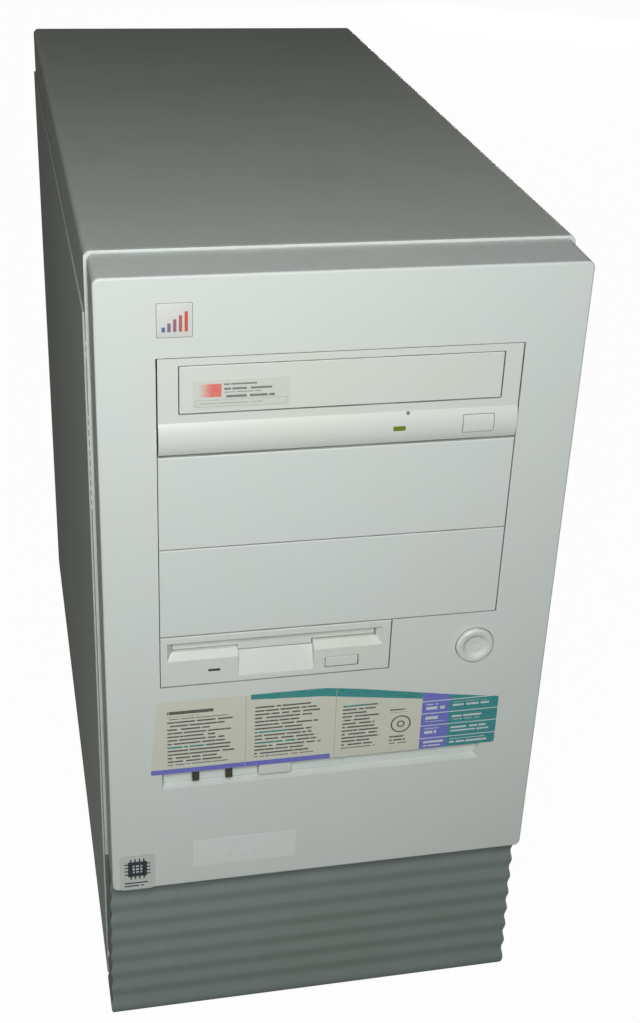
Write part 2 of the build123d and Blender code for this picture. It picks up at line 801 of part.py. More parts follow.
def make_indicator_board():
    low = groove_low + 0.5
    board = front(rect(-68, -12, low, groove_top - 1, 1), board_y, board_y + 1.6)
    pieces = [board]
    for x in lamp_centres:
        lamp = rod(x, low + 5.5, 2.4, groove_floor + moulding + 3.2, board_y)
        pieces.append(lamp)
    switch_x = reset_left + reset_width / 2
    pieces.append(front(rect(switch_x - 3, switch_x + 3, reset_z - 3, reset_z + 3), board_y - reset_switch,
                        board_y))
    plug = front(rect(-66, -52, low + 1, low + 7), board_y + 1.6, board_y + 8)
    post_y = groove_floor + moulding + 1.5
    posts = [front(rect(x - 1.5, x + 1.5, groove_top - 4, groove_top - 1), post_y, board_y)
             for x in (-66.5, -13.5)]
    return joined(pieces + [plug] + posts)


def make_power_button():
    tail_y = face_y + moulding + power_collar + 4
    skirt = 10.0
    front_y = face_y - power_proud
    profile = outline((0, front_y + power_dish_depth), (power_dish - 1.6, front_y + power_dish_depth * 0.8),
                      (power_dish, front_y + 0.25), (power_dish + 0.5, front_y),
                      (power_radius - 0.8, front_y), (power_radius, front_y + 0.8),
                      (power_radius, front_y + skirt), (3.0, front_y + skirt), (2.5, tail_y), (0, tail_y))
    turned = revolve(profile, Axis.Y)
    return Pos(power_x, 0, power_z) * turned


def make_power_switch():
    start = face_y + moulding + power_collar + 4 + power_travel + 0.4
    body = block(power_x - 10, power_x + 10, start + 6, plate_y + 22, power_z - 9, power_z + 9)
    plunger = rod(power_x, power_z, 2.5, start, start + 7)
    ears = block(power_x - 16, power_x + 16, plate_y, plate_y + 1.5, power_z - 8, power_z + 8)
    tabs = [block(x - 0.4, x + 0.4, plate_y + 22, plate_y + 29, z - 2.4, z + 2.4)
            for x in (power_x - 6, power_x + 6) for z in (power_z - 4.5, power_z + 4.5)]
    return joined([body, plunger, ears] + tabs)


def make_plinth():
    """Ribbed skirt: the wavy profiles of its front and its sides meet in sharp corners."""
    crest_x, crest_y = half - plinth_step, face_y + plinth_setback
    low, high = plinth_clearance, plinth_height
    count = int((high - low) / rib_pitch) + 1
    end = low + count * rib_pitch

    def lean(z):
        return plinth_flare * (1 - z / plinth_height)

    def wave(crest, outward):
        """Line up the wall, through a valley and a crest in turn."""
        points = []
        for i in range(2 * count + 1):
            z = low + i * rib_pitch / 2
            reach = lean(z) - (0 if i % 2 else rib_rise)
            points.append((crest + outward * reach, z))
        return Spline(*points)

    def inner(z):
        """Outline of the hollow at a height."""
        reach = lean(z) - rib_rise - plinth_wall
        return Pos(0, 0, z) * rect(-crest_x - reach, crest_x + reach, crest_y - reach, joint_y + 1)

    face = wave(crest_y, -1)
    rear = Polyline(face @ 1, (joint_y, end), (joint_y, low), face @ 0)
    across = side(make_face([face, rear]), -half - plinth_flare, half + plinth_flare)
    left, right = wave(-crest_x, -1), wave(crest_x, 1)
    ends = [Line(left @ 0, right @ 0), Line(left @ 1, right @ 1)]
    depthways = front(make_face([left, right] + ends), face_y, joint_y)
    wall = across & depthways & block(-half - 2, half + 2, face_y, joint_y, low, high)
    wall -= loft([inner(low - 1), inner(high + 1)])
    rib_front = crest_y + rib_rise + 0.4
    for x in (-66, -22, 22, 66):
        wall += block(x - 1, x + 1, rib_front, joint_y - 6, low + 4, high - 3)
    rim = rect(-half, -crest_x + rib_rise + plinth_wall - 0.5, low, high)
    rim += mirrored(rim)
    return wall + front(rim, joint_y - flange_thickness, joint_y)


def make_bay_cover(index):
    """Blank cover, counted from the top, with a snap arm at each end."""
    high = bay_top - index * bay_pitch - cover_gap / 2
    low = high - bay_pitch + cover_gap
    left, right = bay_left + cover_gap, bay_right - cover_gap
    depth = 11.0
    shell = block(left, right, face_y, face_y + depth, low, high)
    shell = fillet(shell.faces().sort_by(Axis.Y)[0].edges(), 0.5)
    shell -= block(left + 2, right - 2, face_y + 2.2, face_y + depth + 1, low + 2, high - 2)
    for x in (-45, -15, 15, 45):
        shell += block(x - 0.8, x + 0.8, face_y + 2, face_y + depth - 2, low + 1.5, high - 1.5)
    for x in (cage_left + cover_gap, cage_right - cover_gap - 2):
        shell += block(x, x + 2, face_y + 2, joint_y + 4, low + 12, high - 12)
    return shell


# ---- CD drive -----------------------------------------------------------------------------
door_low = cd_low + chin_height + door_rise
door_high = cd_top - door_drop
tray_low = door_low + 4.0
cd_body_low = cd_low + 0.4
cd_body_top = cd_top - 0.3
cd_button_x = cd_button_left + cd_button_width / 2
cd_button_z = cd_low + cd_button_low + cd_button_height / 2
cd_stem_end = face_y + cd_bezel_depth + 5.0
cd_plug_low = cd_body_low + 5.5


def cd_front_profile(recess=0.0):
    """Side view of the drive's front: flat above, a round chin below."""
    y0, y1 = face_y + recess, face_y + cd_bezel_depth
    chin_top = cd_low + chin_height
    curve = SagittaArc((y0, chin_top), (y0, cd_low), -chin_rise)
    lines = Polyline((y0, cd_low), (y1, cd_low), (y1, cd_top), (y0, cd_top), (y0, chin_top))
    return make_face([curve, lines])


def cd_button_sketch(gap):
    low = cd_low + cd_button_low
    return rect(cd_button_left - gap, cd_button_left + cd_button_width + gap,
                low - gap, low + cd_button_height + gap, 0.6)


def cd_lamp_sketch():
    low = cd_low + cd_lamp_low
    return rect(cd_lamp_left, cd_lamp_left + cd_lamp_width, low, low + cd_lamp_height, 0.5)


def door_sketch(gap):
    return rect(door_left - gap, door_left + door_width + gap, door_low - gap, door_high + gap, 0.6)


def make_cd_bezel():
    body = side(cd_front_profile(), cd_left, cd_left + cd_width)
    reach = (face_y - chin_rise - 1, face_y + cd_bezel_depth + 1)
    body -= front(door_sketch(tray_gap), *reach)
    body -= front(cd_button_sketch(button_gap), *reach)
    body -= front(cd_lamp_sketch(), *reach)
    body -= rod(pinhole_x, cd_low + pinhole_low, pinhole_radius, *reach)
    return body


def cd_plug_sketch(grow):
    """Data plug and power plug in the drive's back."""
    low, high = cd_plug_low - grow, cd_plug_low + plug_height + grow
    data = rect(plug_x - plug_width / 2 - grow, plug_x + plug_width / 2 + grow, low, high)
    half_power = power_plug_width / 2 + grow
    return data + rect(power_plug_x - half_power, power_plug_x + half_power, low, high)


def make_cd_shell():
    """Steel case of the drive: folded tube, open in front, closed behind."""
    y0, y1 = face_y + cd_bezel_depth, cd_back
    shell = block(drive_left, drive_right, y0, y1, cd_body_low, cd_body_top)
    shell -= block(drive_left + drive_wall, drive_right - drive_wall, y0 - 1, y1 - drive_wall,
                   cd_body_low + drive_wall, cd_body_top - drive_wall)
    shell -= front(cd_plug_sketch(0.5), y1 - 2, y1 + 1)
    shell -= drive_screw_holes(drive_left - 1, drive_left + drive_wall + 1)
    under_lid = cd_body_top - drive_wall
    crown = plan(rect(bay_centre - 45, bay_centre + 45, y0 + 40, y0 + 130, 12), under_lid - 0.6, under_lid)
    return shell + crown


tray_front = face_y + door_thickness + 0.2
disc_y = tray_front + 66.0
disc_x = door_left + door_width / 2


def make_cd_tray():
    x0, x1 = disc_x - tray_width / 2, disc_x + tray_width / 2
    y0, y1 = face_y + door_thickness, tray_front + tray_length
    high = tray_low + tray_thickness
    tray = plan(rect(x0, x1, y0, y1, 2), tray_low, high)
    tray -= Pos(disc_x, disc_y, high) * Cylinder(disc_radius + disc_clearance, 2 * disc_depth)
    tray -= Pos(disc_x, disc_y, high - disc_depth) * Cylinder(disc_small_radius + disc_clearance, 2.4)
    tray -= plan(rect(disc_x - 17, disc_x + 17, disc_y - 14, y1 + 5, 6), tray_low - 1, high + 1)
    for x in (x0, x1):
        tray -= block(x - 2, x + 2, y0 + 10, y1 + 1, tray_low + 2, tray_low + 4)
    return tray


def make_cd_tray_front():
    door = front(door_sketch(0), face_y, face_y + door_thickness)
    return fillet(door.faces().sort_by(Axis.Y)[0].edges(), 0.4)


def make_loader_deck():
    """Frame that guides the tray and carries the disc motor."""
    x0, x1 = drive_left + drive_wall + 0.2, drive_right - drive_wall - 0.2
    y0, y1 = face_y + cd_bezel_depth + cd_button_travel + tray_gap, cd_back - drive_wall
    low = cd_body_low + drive_wall
    base = block(x0, x1, y0, y1, low, low + 3)
    inner = tray_width / 2 + tray_gap
    rail = block(x0, disc_x - inner, y0, y1, low + 2, tray_low + 11)
    tongue = block(x0, disc_x - inner + 1.7, y0 + 12, y1, tray_low + 2.4, tray_low + 3.6)
    other = block(disc_x + inner, x1, y0, y1, low + 2, tray_low + 11)
    other_tongue = block(disc_x + inner - 1.7, x1, y0 + 12, y1, tray_low + 2.4, tray_low + 3.6)
    motor = Pos(disc_x, disc_y, 0) * plan(Circle(14), low + 2, tray_low - 2.5)
    spindle = Pos(disc_x, disc_y, 0) * plan(Circle(spindle_radius), tray_low - 3, tray_low + 2.5)
    sled = block(disc_x - 11, disc_x + 11, disc_y + 22, disc_y + 52, low + 2, tray_low - 2.5)
    bridge = block(x0, x1, disc_y - 9, disc_y + 9, tray_low + 11, tray_low + 13)
    clamp = Pos(disc_x, disc_y, 0) * plan(Circle(15), tray_low + 9, tray_low + 12)
    plugs = front(cd_plug_sketch(0), y1 - 10, cd_back + plug_proud)
    plugs += block(plug_x - plug_width / 2, power_plug_x + power_plug_width / 2, y1 - 10, y1, low + 2,
                   cd_plug_low + 0.5)
    switch_y = cd_stem_end + cd_button_travel + 0.1
    switch = block(cd_button_x - 3, cd_button_x + 3, switch_y, switch_y + 5, low + 2, cd_button_z + 3)
    return joined([base, rail, tongue, other, other_tongue, motor, spindle, sled, bridge, clamp, plugs,
                   switch])


def make_cd_button():
    cap = side(cd_front_profile(), cd_button_left, cd_button_left + cd_button_width)
    cap &= front(cd_button_sketch(0), face_y - chin_rise - 1, face_y + cd_bezel_depth)
    stem = block(cd_button_x - 3.5, cd_button_x + 3.5, face_y + cd_bezel_depth - 1, cd_stem_end,
                 cd_button_z - 1.5, cd_button_z + 1.5)
    return cap + stem


def make_cd_lamp():
    lens = side(cd_front_profile(), cd_lamp_left, cd_lamp_left + cd_lamp_width)
    return lens & front(cd_lamp_sketch(), face_y - chin_rise - 1, face_y + cd_bezel_depth)


# ---- Floppy drive -------------------------------------------------------------------------
def fd_rect(left, right, low, high, radius=0):
    """Rectangle measured from the lower left corner of the floppy drive's bezel."""
    return rect(fd_left + left, fd_left + right, fd_low + low, fd_low + high, radius)


def make_floppy_bezel():
    body = front(fd_rect(0, fd_width, 0, fd_high - fd_low), face_y, fd_front)
    body = fillet(body.faces().sort_by(Axis.Y)[0].edges(), 0.5)
    body -= front(fd_rect(2, fd_width - 2, 1.5, fd_high - fd_low - 1.5), face_y + floppy_moulding,
                  fd_front + 1)
    mouth = fd_rect(channel_left, channel_right, channel_low, channel_high)
    floor = fd_rect(slot_left, slot_right, slot_low, slot_high)
    body -= funnel(mouth, floor, face_y, face_y + channel_depth)
    notch_top = fd_low + slot_low - tab_drop
    scoop = outline((face_y - 1, fd_low + notch_low - 2.4), (face_y + notch_depth, notch_top),
                    (face_y + notch_depth, fd_low + slot_high), (face_y - 1, fd_low + slot_high))
    body -= side(scoop, fd_left + notch_left, fd_left + notch_right)
    body -= front(fd_rect(notch_left, notch_right, slot_low - tab_drop, slot_high), face_y, fd_front + 1)
    button = fd_rect(eject_left - button_gap, eject_left + eject_width + button_gap,
                     eject_low - button_gap, eject_low + eject_height + button_gap)
    body -= front(button, face_y - 1, fd_front + 1)
    body -= front(floppy_lamp_sketch(), face_y - 1, fd_front + 1)
    body -= front(floor, face_y + channel_depth - 0.2, fd_front + 1)
    return body


def floppy_lamp_sketch():
    return fd_rect(floppy_lamp_left, floppy_lamp_left + floppy_lamp_width, floppy_lamp_low,
                   floppy_lamp_low + floppy_lamp_height)


door_y = face_y + notch_depth + 0.2


def make_floppy_door():
    """Flap that closes the disk slot, hung from its upper edge."""
    gap = 0.35
    x0, x1 = fd_left + slot_left + gap, fd_left + slot_right - gap
    low, high = fd_low + slot_low + gap, fd_low + slot_high - gap
    tab = fd_rect(notch_left + gap, notch_right - gap, slot_low - tab_drop + gap, slot_high - gap)
    leaf = front(rect(x0, x1, low, high) + tab, door_y, door_y + floppy_door_thickness)
    knuckle = side(spot(door_y + floppy_door_thickness, high - 0.6, 0.6), x0, x1)
    return leaf + knuckle


def make_floppy_shell():
    x0, x1 = fd_body_left, fd_body_left + floppy_body_width
    z0, z1 = fd_body_low, fd_body_low + floppy_body_height
    y0, y1 = fd_front, fd_front + floppy_body_length
    shell = block(x0, x1, y0, y1, z0, z1)
    shell -= block(x0 + drive_wall, x1 - drive_wall, y0 + drive_wall, y1 - drive_wall, z0 + drive_wall,
                   z1 - drive_wall)
    openings = fd_rect(slot_left - 1, slot_right + 1, slot_low - 3, slot_high + 1)
    openings += fd_rect(eject_left - 1, eject_left + eject_width + 1, eject_low - 0.6, eject_low + 5.6)
    shell -= front(openings, y0 - 1, y0 + drive_wall + 1)
    shell -= front(rect(x0 + 20, x0 + 70, z0 + 3, z0 + 12), y1 - 2, y1 + 1)
    shell += front(rect(x0 + 21, x0 + 69, z0 + drive_wall - 0.2, z0 + 11), y1 - 9, floppy_plug_back)
    shell += plan(rect(x0 + 12, x1 - 12, y0 + 45, y1 - 25, 8), z1 - drive_wall - 0.5, z1 - drive_wall)
    return shell - drive_screw_holes(x0 - 1, x0 + drive_wall + 1)


def make_floppy_button():
    cap = front(fd_rect(eject_left, eject_left + eject_width, eject_low, eject_low + eject_height), face_y,
                fd_front + 1)
    cap = fillet(cap.faces().sort_by(Axis.Y)[0].edges(), 0.4)
    rod_low = fd_low + eject_low + 1
    stem = block(fd_left + eject_left + 4, fd_left + eject_left + eject_width - 4, fd_front, fd_front + 30,
                 rod_low, rod_low + 2)
    return cap + stem


def make_floppy_lamp():
    return front(floppy_lamp_sketch(), face_y + 0.4, face_y + channel_depth + 3)


# ---- Power supply -------------------------------------------------------------------------
fan_z = psu_low + psu_height / 2
inlet_z = psu_low + inlet_low + inlet_height / 2
outlet_z = psu_low + outlet_low + inlet_height / 2
slider_z = psu_low + psu_height / 2


def hole_ring(x, z, pitch, radius):
    """Four holes at the corners of a square."""
    return joined([spot(x + sx * pitch / 2, z + sz * pitch / 2, radius) for sx in (-1, 1) for sz in (-1, 1)])


def psu_screw_places():
    return [(x, z) for x in (psu_left + psu_screw_inset, psu_right - psu_screw_inset)
            for z in (psu_low + psu_screw_inset, psu_top - psu_screw_inset)]


def psu_screw_holes():
    return joined([spot(x, z, screw_hole) for x, z in psu_screw_places()])


def make_psu_case():
    shell = block(psu_left, psu_right, psu_front, rear_in, psu_low, psu_top)
    shell -= block(psu_left + chassis, psu_right - chassis, psu_front + chassis, rear_in - chassis,
                   psu_low + chassis, psu_top - chassis)
    cut = spot(fan_x, fan_z, fan_bore) + hole_ring(fan_x, fan_z, fan_size - 8.5, 2.0)
    for z in (inlet_z, outlet_z):
        cut += rect(inlet_x - inlet_width / 2, inlet_x + inlet_width / 2, z - inlet_height / 2,
                    z + inlet_height / 2)
    cut += rect(slider_x - 5.5, slider_x + 5.5, slider_z - slider_room, slider_z + slider_room)
    cut += psu_screw_holes()
    shell -= front(cut, rear_in - 3, rear_in + 1)
    vents = louvres(psu_left + 15, psu_right - 15, psu_low + 14, psu_top - 14, 9, 3.5)
    shell -= front(vents, psu_front - 1, psu_front + 3)
    shell -= front(rect(psu_left + 8, psu_left + 24, psu_low + 2, psu_low + 13, 1.5), psu_front - 1,
                   psu_front + 3)
    return shell


def make_psu_board():
    low = psu_low + chassis
    y0, y1 = psu_front + 4, rear_in - chassis - fan_depth - 3
    board = block(psu_left + 4, psu_right - 4, y0, y1, low + 4, low + 5.6)
    legs = [block(x - 2, x + 2, y - 2, y + 2, low, low + 4.2) for x in (psu_left + 9, psu_right - 9)
            for y in (y0 + 6, y1 - 6)]
    core = block(psu_centre - 18, psu_centre + 18, y0 + 35, y0 + 65, low + 5.4, low + 38)
    coil = block(psu_centre - 12, psu_centre + 12, y0 + 31, y0 + 69, low + 9, low + 34)
    cans = [Pos(x, y0 + 22, 0) * plan(Circle(11), low + 5.4, low + 45)
            for x in (psu_left + 24, psu_left + 50)]
    fins = [block(x, x + 3, y0 + 8, y1 - 8, low + 5.4, low + 62) for x in (psu_left + 72, psu_right - 24)]
    ring = Pos(psu_right - 48, y0 + 20, 0) * plan(Circle(12) - Circle(5), low + 5.4, low + 17)
    return joined([board] + legs + [core, coil] + cans + fins + [ring])


fan_back = rear_in - chassis
fan_front = fan_back - fan_depth


def make_fan_frame():
    half_fan = fan_size / 2
    square = rect(fan_x - half_fan, fan_x + half_fan, fan_z - half_fan, fan_z + half_fan, 3)
    frame = front(square - spot(fan_x, fan_z, fan_bore), fan_front, fan_back)
    frame -= front(hole_ring(fan_x, fan_z, fan_size - 8.5, 2.1), fan_front - 1, fan_back + 1)
    boss = rod(fan_x, fan_z, hub_radius + 2, fan_front, fan_front + 3)
    reach = fan_bore + 1
    cross = rect(fan_x - reach, fan_x + reach, fan_z - 2, fan_z + 2)
    cross += rect(fan_x - 2, fan_x + 2, fan_z - reach, fan_z + reach)
    arms = front(cross, fan_front, fan_front + 3)
    pin = rod(fan_x, fan_z, fan_pin, fan_front + 2, fan_front + 12)
    return frame + boss + arms + pin


def make_fan_rotor():
    """Hub and twisted blades; each blade is a loft between a steep root and a flat tip."""
    y0, y1 = fan_front + 4, fan_back - 4
    hub = rod(0, 0, hub_radius, y0, y1)
    hub = fillet(hub.faces().sort_by(Axis.Y)[-1].edges(), 1.5)
    depth = y1 - y0 - 3
    middle = (y0 + y1) / 2
    tip_radius = fan_bore - blade_gap

    def section(radius, chord, lean):
        plane = Plane(origin=(0, middle, radius), x_dir=(1, 0, 0), z_dir=(0, 0, 1))
        return plane * (Rot(0, 0, lean) * Rectangle(chord, 1.4))

    blade = loft([section(hub_radius - 1.5, depth * 0.9, 52), section(tip_radius - 0.8, depth * 1.35, 28)])
    blade &= rod(0, 0, tip_radius, y0 - 2, y1 + 2)
    blade &= block(-60, 60, y0 + 0.5, y1 - 0.5, -60, 60)
    blades = [Rot(0, i * 360 / blade_count, 0) * blade for i in range(blade_count)]
    rotor = joined([hub] + blades) - rod(0, 0, fan_pin + fan_pin_gap, y0 - 1, fan_front + 12.5)
    return Pos(fan_x, 0, fan_z) * rotor


def make_fan_guard():
    """Wire guard on the supply's rear wall."""
    wire = 0.9
    y = rear_in + wire + 0.05
    section = RegularPolygon(wire, 8)
    reach = (fan_size - 8.5) / 2
    rings = [Pos(fan_x, y, fan_z) * revolve(Plane.XY * Pos(radius, 0) * section, Axis.Y)
             for radius in (fan_bore * k / 3.45 for k in (1, 2, 3))]
    bars = [Pos(fan_x, y + wire * 0.7, fan_z) * Rot(0, angle, 0) * extrude(section, reach * 1.35, both=True)
            for angle in (45, 135)]
    feet = [Pos(fan_x + sx * reach, y, fan_z + sz * reach) * Rot(90, 0, 0) * Cylinder(3.2, 2 * wire)
            for sx in (-1, 1) for sz in (-1, 1)]
    return joined(rings + bars + feet)


def iec_outline(x, z, grow=0.0):
    """Outline of the mains connector: a rectangle with two cut corners."""
    w, h, c = 12.2 + grow, 8.2 + grow, 4.4
    return outline((x - w, z - h), (x + w, z - h), (x + w, z + h - c), (x + w - c, z + h), (x - w + c, z + h),
                   (x - w, z + h - c))


def socket_body(x, z):
    """Solid body of a mains socket with its rounded rim."""
    half_width, half_height = inlet_width / 2 - 0.1, inlet_height / 2 - 0.1
    body = front(rect(x - half_width, x + half_width, z - half_height, z + half_height, 1),
                 rear_in - inlet_depth, rear_in)
    rim = front(rect(x - 15.5, x + 15.5, z - 12, z + 12, 2), rear_in, rear_in + 2.2)
    return body + fillet(rim.faces().sort_by(Axis.Y)[-1].edges(), 0.6)


def make_mains_inlet():
    """Recessed socket with three blades."""
    x, z = inlet_x, inlet_z
    body = socket_body(x, z)
    body -= front(iec_outline(x, z), rear_in - 14.5, rear_in + 3)
    for dx, dz in ((-7, -2), (7, -2), (0, 2)):
        body += block(x + dx - 1, x + dx + 1, rear_in - 15, rear_in - 3.5, z + dz - 2, z + dz + 2)
    tab_end = rear_in - inlet_depth
    tabs = [block(x + dx - 0.4, x + dx + 0.4, tab_end - 6, tab_end + 0.5, z - 3, z + 3)
            for dx in (-7, 0, 7)]
    return joined([body] + tabs)


def make_monitor_outlet():
    """Socket for the display's lead: an insert with three slots inside a trench."""
    x, z = inlet_x, outlet_z
    body = socket_body(x, z)
    body -= front(iec_outline(x, z) - iec_outline(x, z, -2.2), rear_in - 14.5, rear_in + 3)
    for dx, dz in ((-7, -2), (7, -2), (0, 2)):
        body -= block(x + dx - 1.2, x + dx + 1.2, rear_in - 12, rear_in + 3, z + dz - 2.4, z + dz + 2.4)
    return body


def make_voltage_slider():
    """Red slide switch, split into its fixed socket and its slider."""
    x, z = slider_x, slider_z
    socket = front(rect(x - 5.4, x + 5.4, z - slider_room + 0.1, z + slider_room - 0.1), rear_in - 8, rear_in)
    rim = front(rect(x - 7.5, x + 7.5, z - 14, z + 14, 1.5), rear_in, rear_in + 1.2)
    room = slider_height + slider_travel + 1.0
    pocket = rect(x - 3.6, x + 3.6, z - room / 2, z + room / 2)
    socket = socket + rim - front(pocket, rear_in - 4, rear_in + 2)
    low = z - room / 2 + 0.5
    middle = low + slider_height / 2
    slider = front(rect(x - 3.3, x + 3.3, low, low + slider_height), rear_in - 4, rear_in + 0.9)
    slider -= front(rect(x - 4, x + 4, middle - 0.6, middle + 0.6), rear_in + 0.1, rear_in + 1.5)
    return socket, slider


# ---- Boards -------------------------------------------------------------------------------
def chip(y, z, width, height, thick):
    """Flat package on the motherboard's face."""
    return block(board_face - thick, board_face + 0.2, y - width / 2, y + width / 2, z - height / 2,
                 z + height / 2)


cpu_y = board_front + cpu_from_front
cpu_z = board_low + cpu_from_low
memory_y = board_front + memory_from_front
riser_z = board_low + riser_height
memory_z = shelf_z - memory_drop - memory_length / 2


def make_motherboard():
    board = side(rect(board_front, board_back, board_low, board_high, 2), board_face, board_x)
    for y, z in standoff_places():
        board -= side(spot(y, z, 1.9), board_face - 1, board_x + 1)
    chips = [chip(board_front + y, board_low + z, width, height, thick)
             for y, z, width, height, thick in board_chips]
    socket = chip(cpu_y, cpu_z, package_size + 8.6, package_size + 4.6, socket_height)
    holders = [chip(memory_y + i * memory_pitch, memory_z, 7, memory_length + 4, holder_height)
               for i in range(memory_count)]
    riser_socket = chip(board_back - 110, riser_z, 145, 9, riser_socket_height)
    headers = [chip(ribbon_y + ribbon / 2, (run_low + run_high) / 2, 9, ribbon_width + 8, header_height),
               chip((floppy_run_front + floppy_run_back) / 2, floppy_run_z + ribbon / 2,
                    floppy_ribbon_width + 6, 9, header_height),
               chip(board_front + 225, board_low + 212, ribbon_width + 8, 9, header_height)]
    power = chip(supply_plug_y, supply_plug_z, supply_plug_length + 2, 9, supply_header)
    caps = [side(spot(cpu_y - 2 + i * cap_pitch, cpu_z + cap_rise, 4.0), board_face - 11, board_face + 0.2)
            for i in range(5)]
    cell = side(spot(board_front + 275, board_low + 30, 10.0), board_face - 6, board_face + 0.2)
    return joined([board] + chips + [socket] + holders + [riser_socket] + headers + [power] + caps + [cell])


def make_processor():
    top = board_face - socket_height
    reach = package_size / 2
    return side(rect(cpu_y - reach, cpu_y + reach, cpu_z - reach, cpu_z + reach, 1), top - package_height,
                top)


def make_heatsink():
    """Comb of straight fins."""
    base = board_face - socket_height - package_height
    pitch = sink_width / sink_fins
    low = cpu_z - sink_width / 2
    comb = rect(base - sink_base, base, low, low + sink_width)
    for i in range(sink_fins):
        z = low + (i + 0.5) * pitch
        comb += rect(base - sink_height, base - sink_base + 0.5, z - sink_fin / 2, z + sink_fin / 2)
    return front(comb, cpu_y - sink_width / 2, cpu_y + sink_width / 2)


def make_memory():
    modules = []
    x1 = board_face - holder_height
    for i in range(memory_count):
        y = memory_y + i * memory_pitch
        module = block(x1 - memory_height, x1, y - 0.7, y + 0.7, memory_z - memory_length / 2,
                       memory_z + memory_length / 2)
        pitch = memory_length / 9
        for k in range(8):
            z = memory_z + (k - 3.9) * pitch
            module += block(x1 - memory_height + 4, x1 - 4, y - 2.2, y, z, z + pitch * 0.67)
        modules.append(module)
    return modules


riser_face = board_face - riser_socket_height


def card_plane(index):
    """Left face of the card in a slot."""
    return first_slot_x - index * slot_pitch


def make_riser():
    y0, y1 = board_back - 185, board_back - 36
    board = block(riser_face - riser_width, riser_face, y0, y1, riser_z - 0.8, riser_z + 0.8)
    for i in range(slot_count):
        x = card_plane(i)
        board += block(x - 4.5, x + 4.5, y1 - 138, y1 - 2, riser_z + 0.6, riser_z + 11)
    return board


def bracket(index):
    """Slot bracket with its bent screw tab."""
    x = slot_x(index)
    plate = block(x - bracket_width / 2, x + bracket_width / 2, rear_in - 0.9, rear_in, rear_slot_low,
                  bracket_top)
    tab = block(x - bracket_width / 2, x + bracket_width / 2, rear_in - 11, rear_in, bracket_top - 0.9,
                bracket_top)
    return plate + tab - Pos(x, rear_in - 6.5, bracket_top) * Cylinder(screw_hole, 4)


def make_card(index, ports, parts):
    """Board in a riser slot with its bracket, sockets and chips."""
    x = card_plane(index)
    low = riser_z + 11
    y1 = rear_in - 0.9
    card = block(x - 0.8, x + 0.8, y1 - card_length, y1, low, low + card_height)
    card += bracket(index)
    for z, height, width, hole in ports:
        centre = x - 0.8 - width / 2
        card += block(x - width - 0.8, x - 0.5, rear_in - 14, rear_out + 0.4, z - height / 2, z + height / 2)
        if hole == "round":
            card -= rod(centre, z, 1.9, rear_in - 10, rear_y + 3)
        elif hole == "square":
            card -= front(rect(centre - jack_width / 2, centre + jack_width / 2, z - jack_height / 2,
                               z + jack_height / 2), rear_in - jack_depth, rear_y + 3)
    for y, z, width, height in parts:
        card += block(x - 4.0, x - 0.6, y1 - y - width / 2, y1 - y + width / 2, low + z - height / 2,
                      low + z + height / 2)
    return card


def make_modem():
    ports = [(rear_slot_low + 30, 12, 12.0, "square"), (rear_slot_low + 50, 12, 12.0, "square")]
    return make_card(0, ports, [(50, 40, 26, 26), (90, 45, 30, 14), (120, 60, 20, 20), (45, 75, 30, 18)])


def make_sound_card():
    ports = [(rear_slot_low + 26 + i * 13, 10, 10.0, "round") for i in range(4)]
    ports.append((rear_slot_low + 92, 34, 9.5, "plain"))
    return make_card(1, ports, [(60, 46, 28, 28), (105, 30, 22, 12), (105, 62, 22, 22), (140, 40, 16, 10)])


def make_slot_cover():
    return bracket(2)


def make_rear_ports():
    """Connectors on the motherboard's rear edge."""
    pieces = []
    for index, (shape, (low, high)) in enumerate(port_shapes()):
        body = block(board_face - 13, board_face, rear_in - 14, rear_in, low, high)
        shell = front(shape, rear_in - 1, rear_y + (2.0 if index < 2 else port_proud))
        if index < 2:
            shell -= rod(board_face - 6.5, (low + high) / 2, 4.6, rear_in - 4, rear_y + 8)
        else:
            shell -= front(offset(shape, -0.8), rear_y, rear_y + 8)
        pieces.append(body + shell)
    return pieces


# ---- Small parts and leads ----------------------------------------------------------------


def make_speaker():
    """Small cone loudspeaker behind the front plate."""
    profile = outline((0, 5), (5, 6.5), (15, 6), (25.5, 0), (28, 0), (28, 2.5), (16, 9), (12, 10), (12, 18),
                      (0, 18))
    return Pos(speaker_x, plate_y, speaker_z) * revolve(profile, Axis.Y)


def screw(radius, head, length):
    """Pan-head screw along Z, head up, seated at z = 0."""
    profile = outline((0, -length), (radius, -length), (radius, 0), (head, 0), (head, 1.0), (head * 0.6, 2.0),
                      (0, 2.2))
    return revolve(Plane.XZ * profile, Axis.Z)


def make_case_screws():
    """Four screws hold the supply and three the slot brackets."""
    to_rear = Rot(-90, 0, 0) * screw(screw_radius, 3.0, 4.0)
    screws = [Pos(x, rear_out, z) * to_rear for x, z in psu_screw_places()]
    below = Rot(180, 0, 0) * screw(screw_radius, 3.0, 1.9)
    screws += [Pos(slot_x(i), rear_in - 6.5, bracket_top - 0.9) * below for i in range(slot_count)]
    return screws


def make_panel_screws():
    """Thumbscrews that hold the left side panel's rear edge."""
    profile = outline((0, -4), (1.3, -4), (1.3, 0), (4.6, 0), (4.6, 4.2), (3.8, 5.0), (0, 5.0))
    thumb = Rot(-90, 0, 0) * revolve(Plane.XZ * profile, Axis.Z)
    return [Pos(-panel_in + hem / 2, rear_y, z) * thumb for z in (pan_z + 60, cover_low - 60)]


def drive_screw_places():
    cd = [(face_y + cd_bezel_depth + d, cd_body_low + 3) for d in (55, 135)]
    floppy = [(fd_front + d, fd_body_low + 5) for d in (40, 100)]
    return cd + floppy


def drive_screw_holes(x0, x1):
    return joined([side(spot(y, z, screw_hole), x0, x1) for y, z in drive_screw_places()])


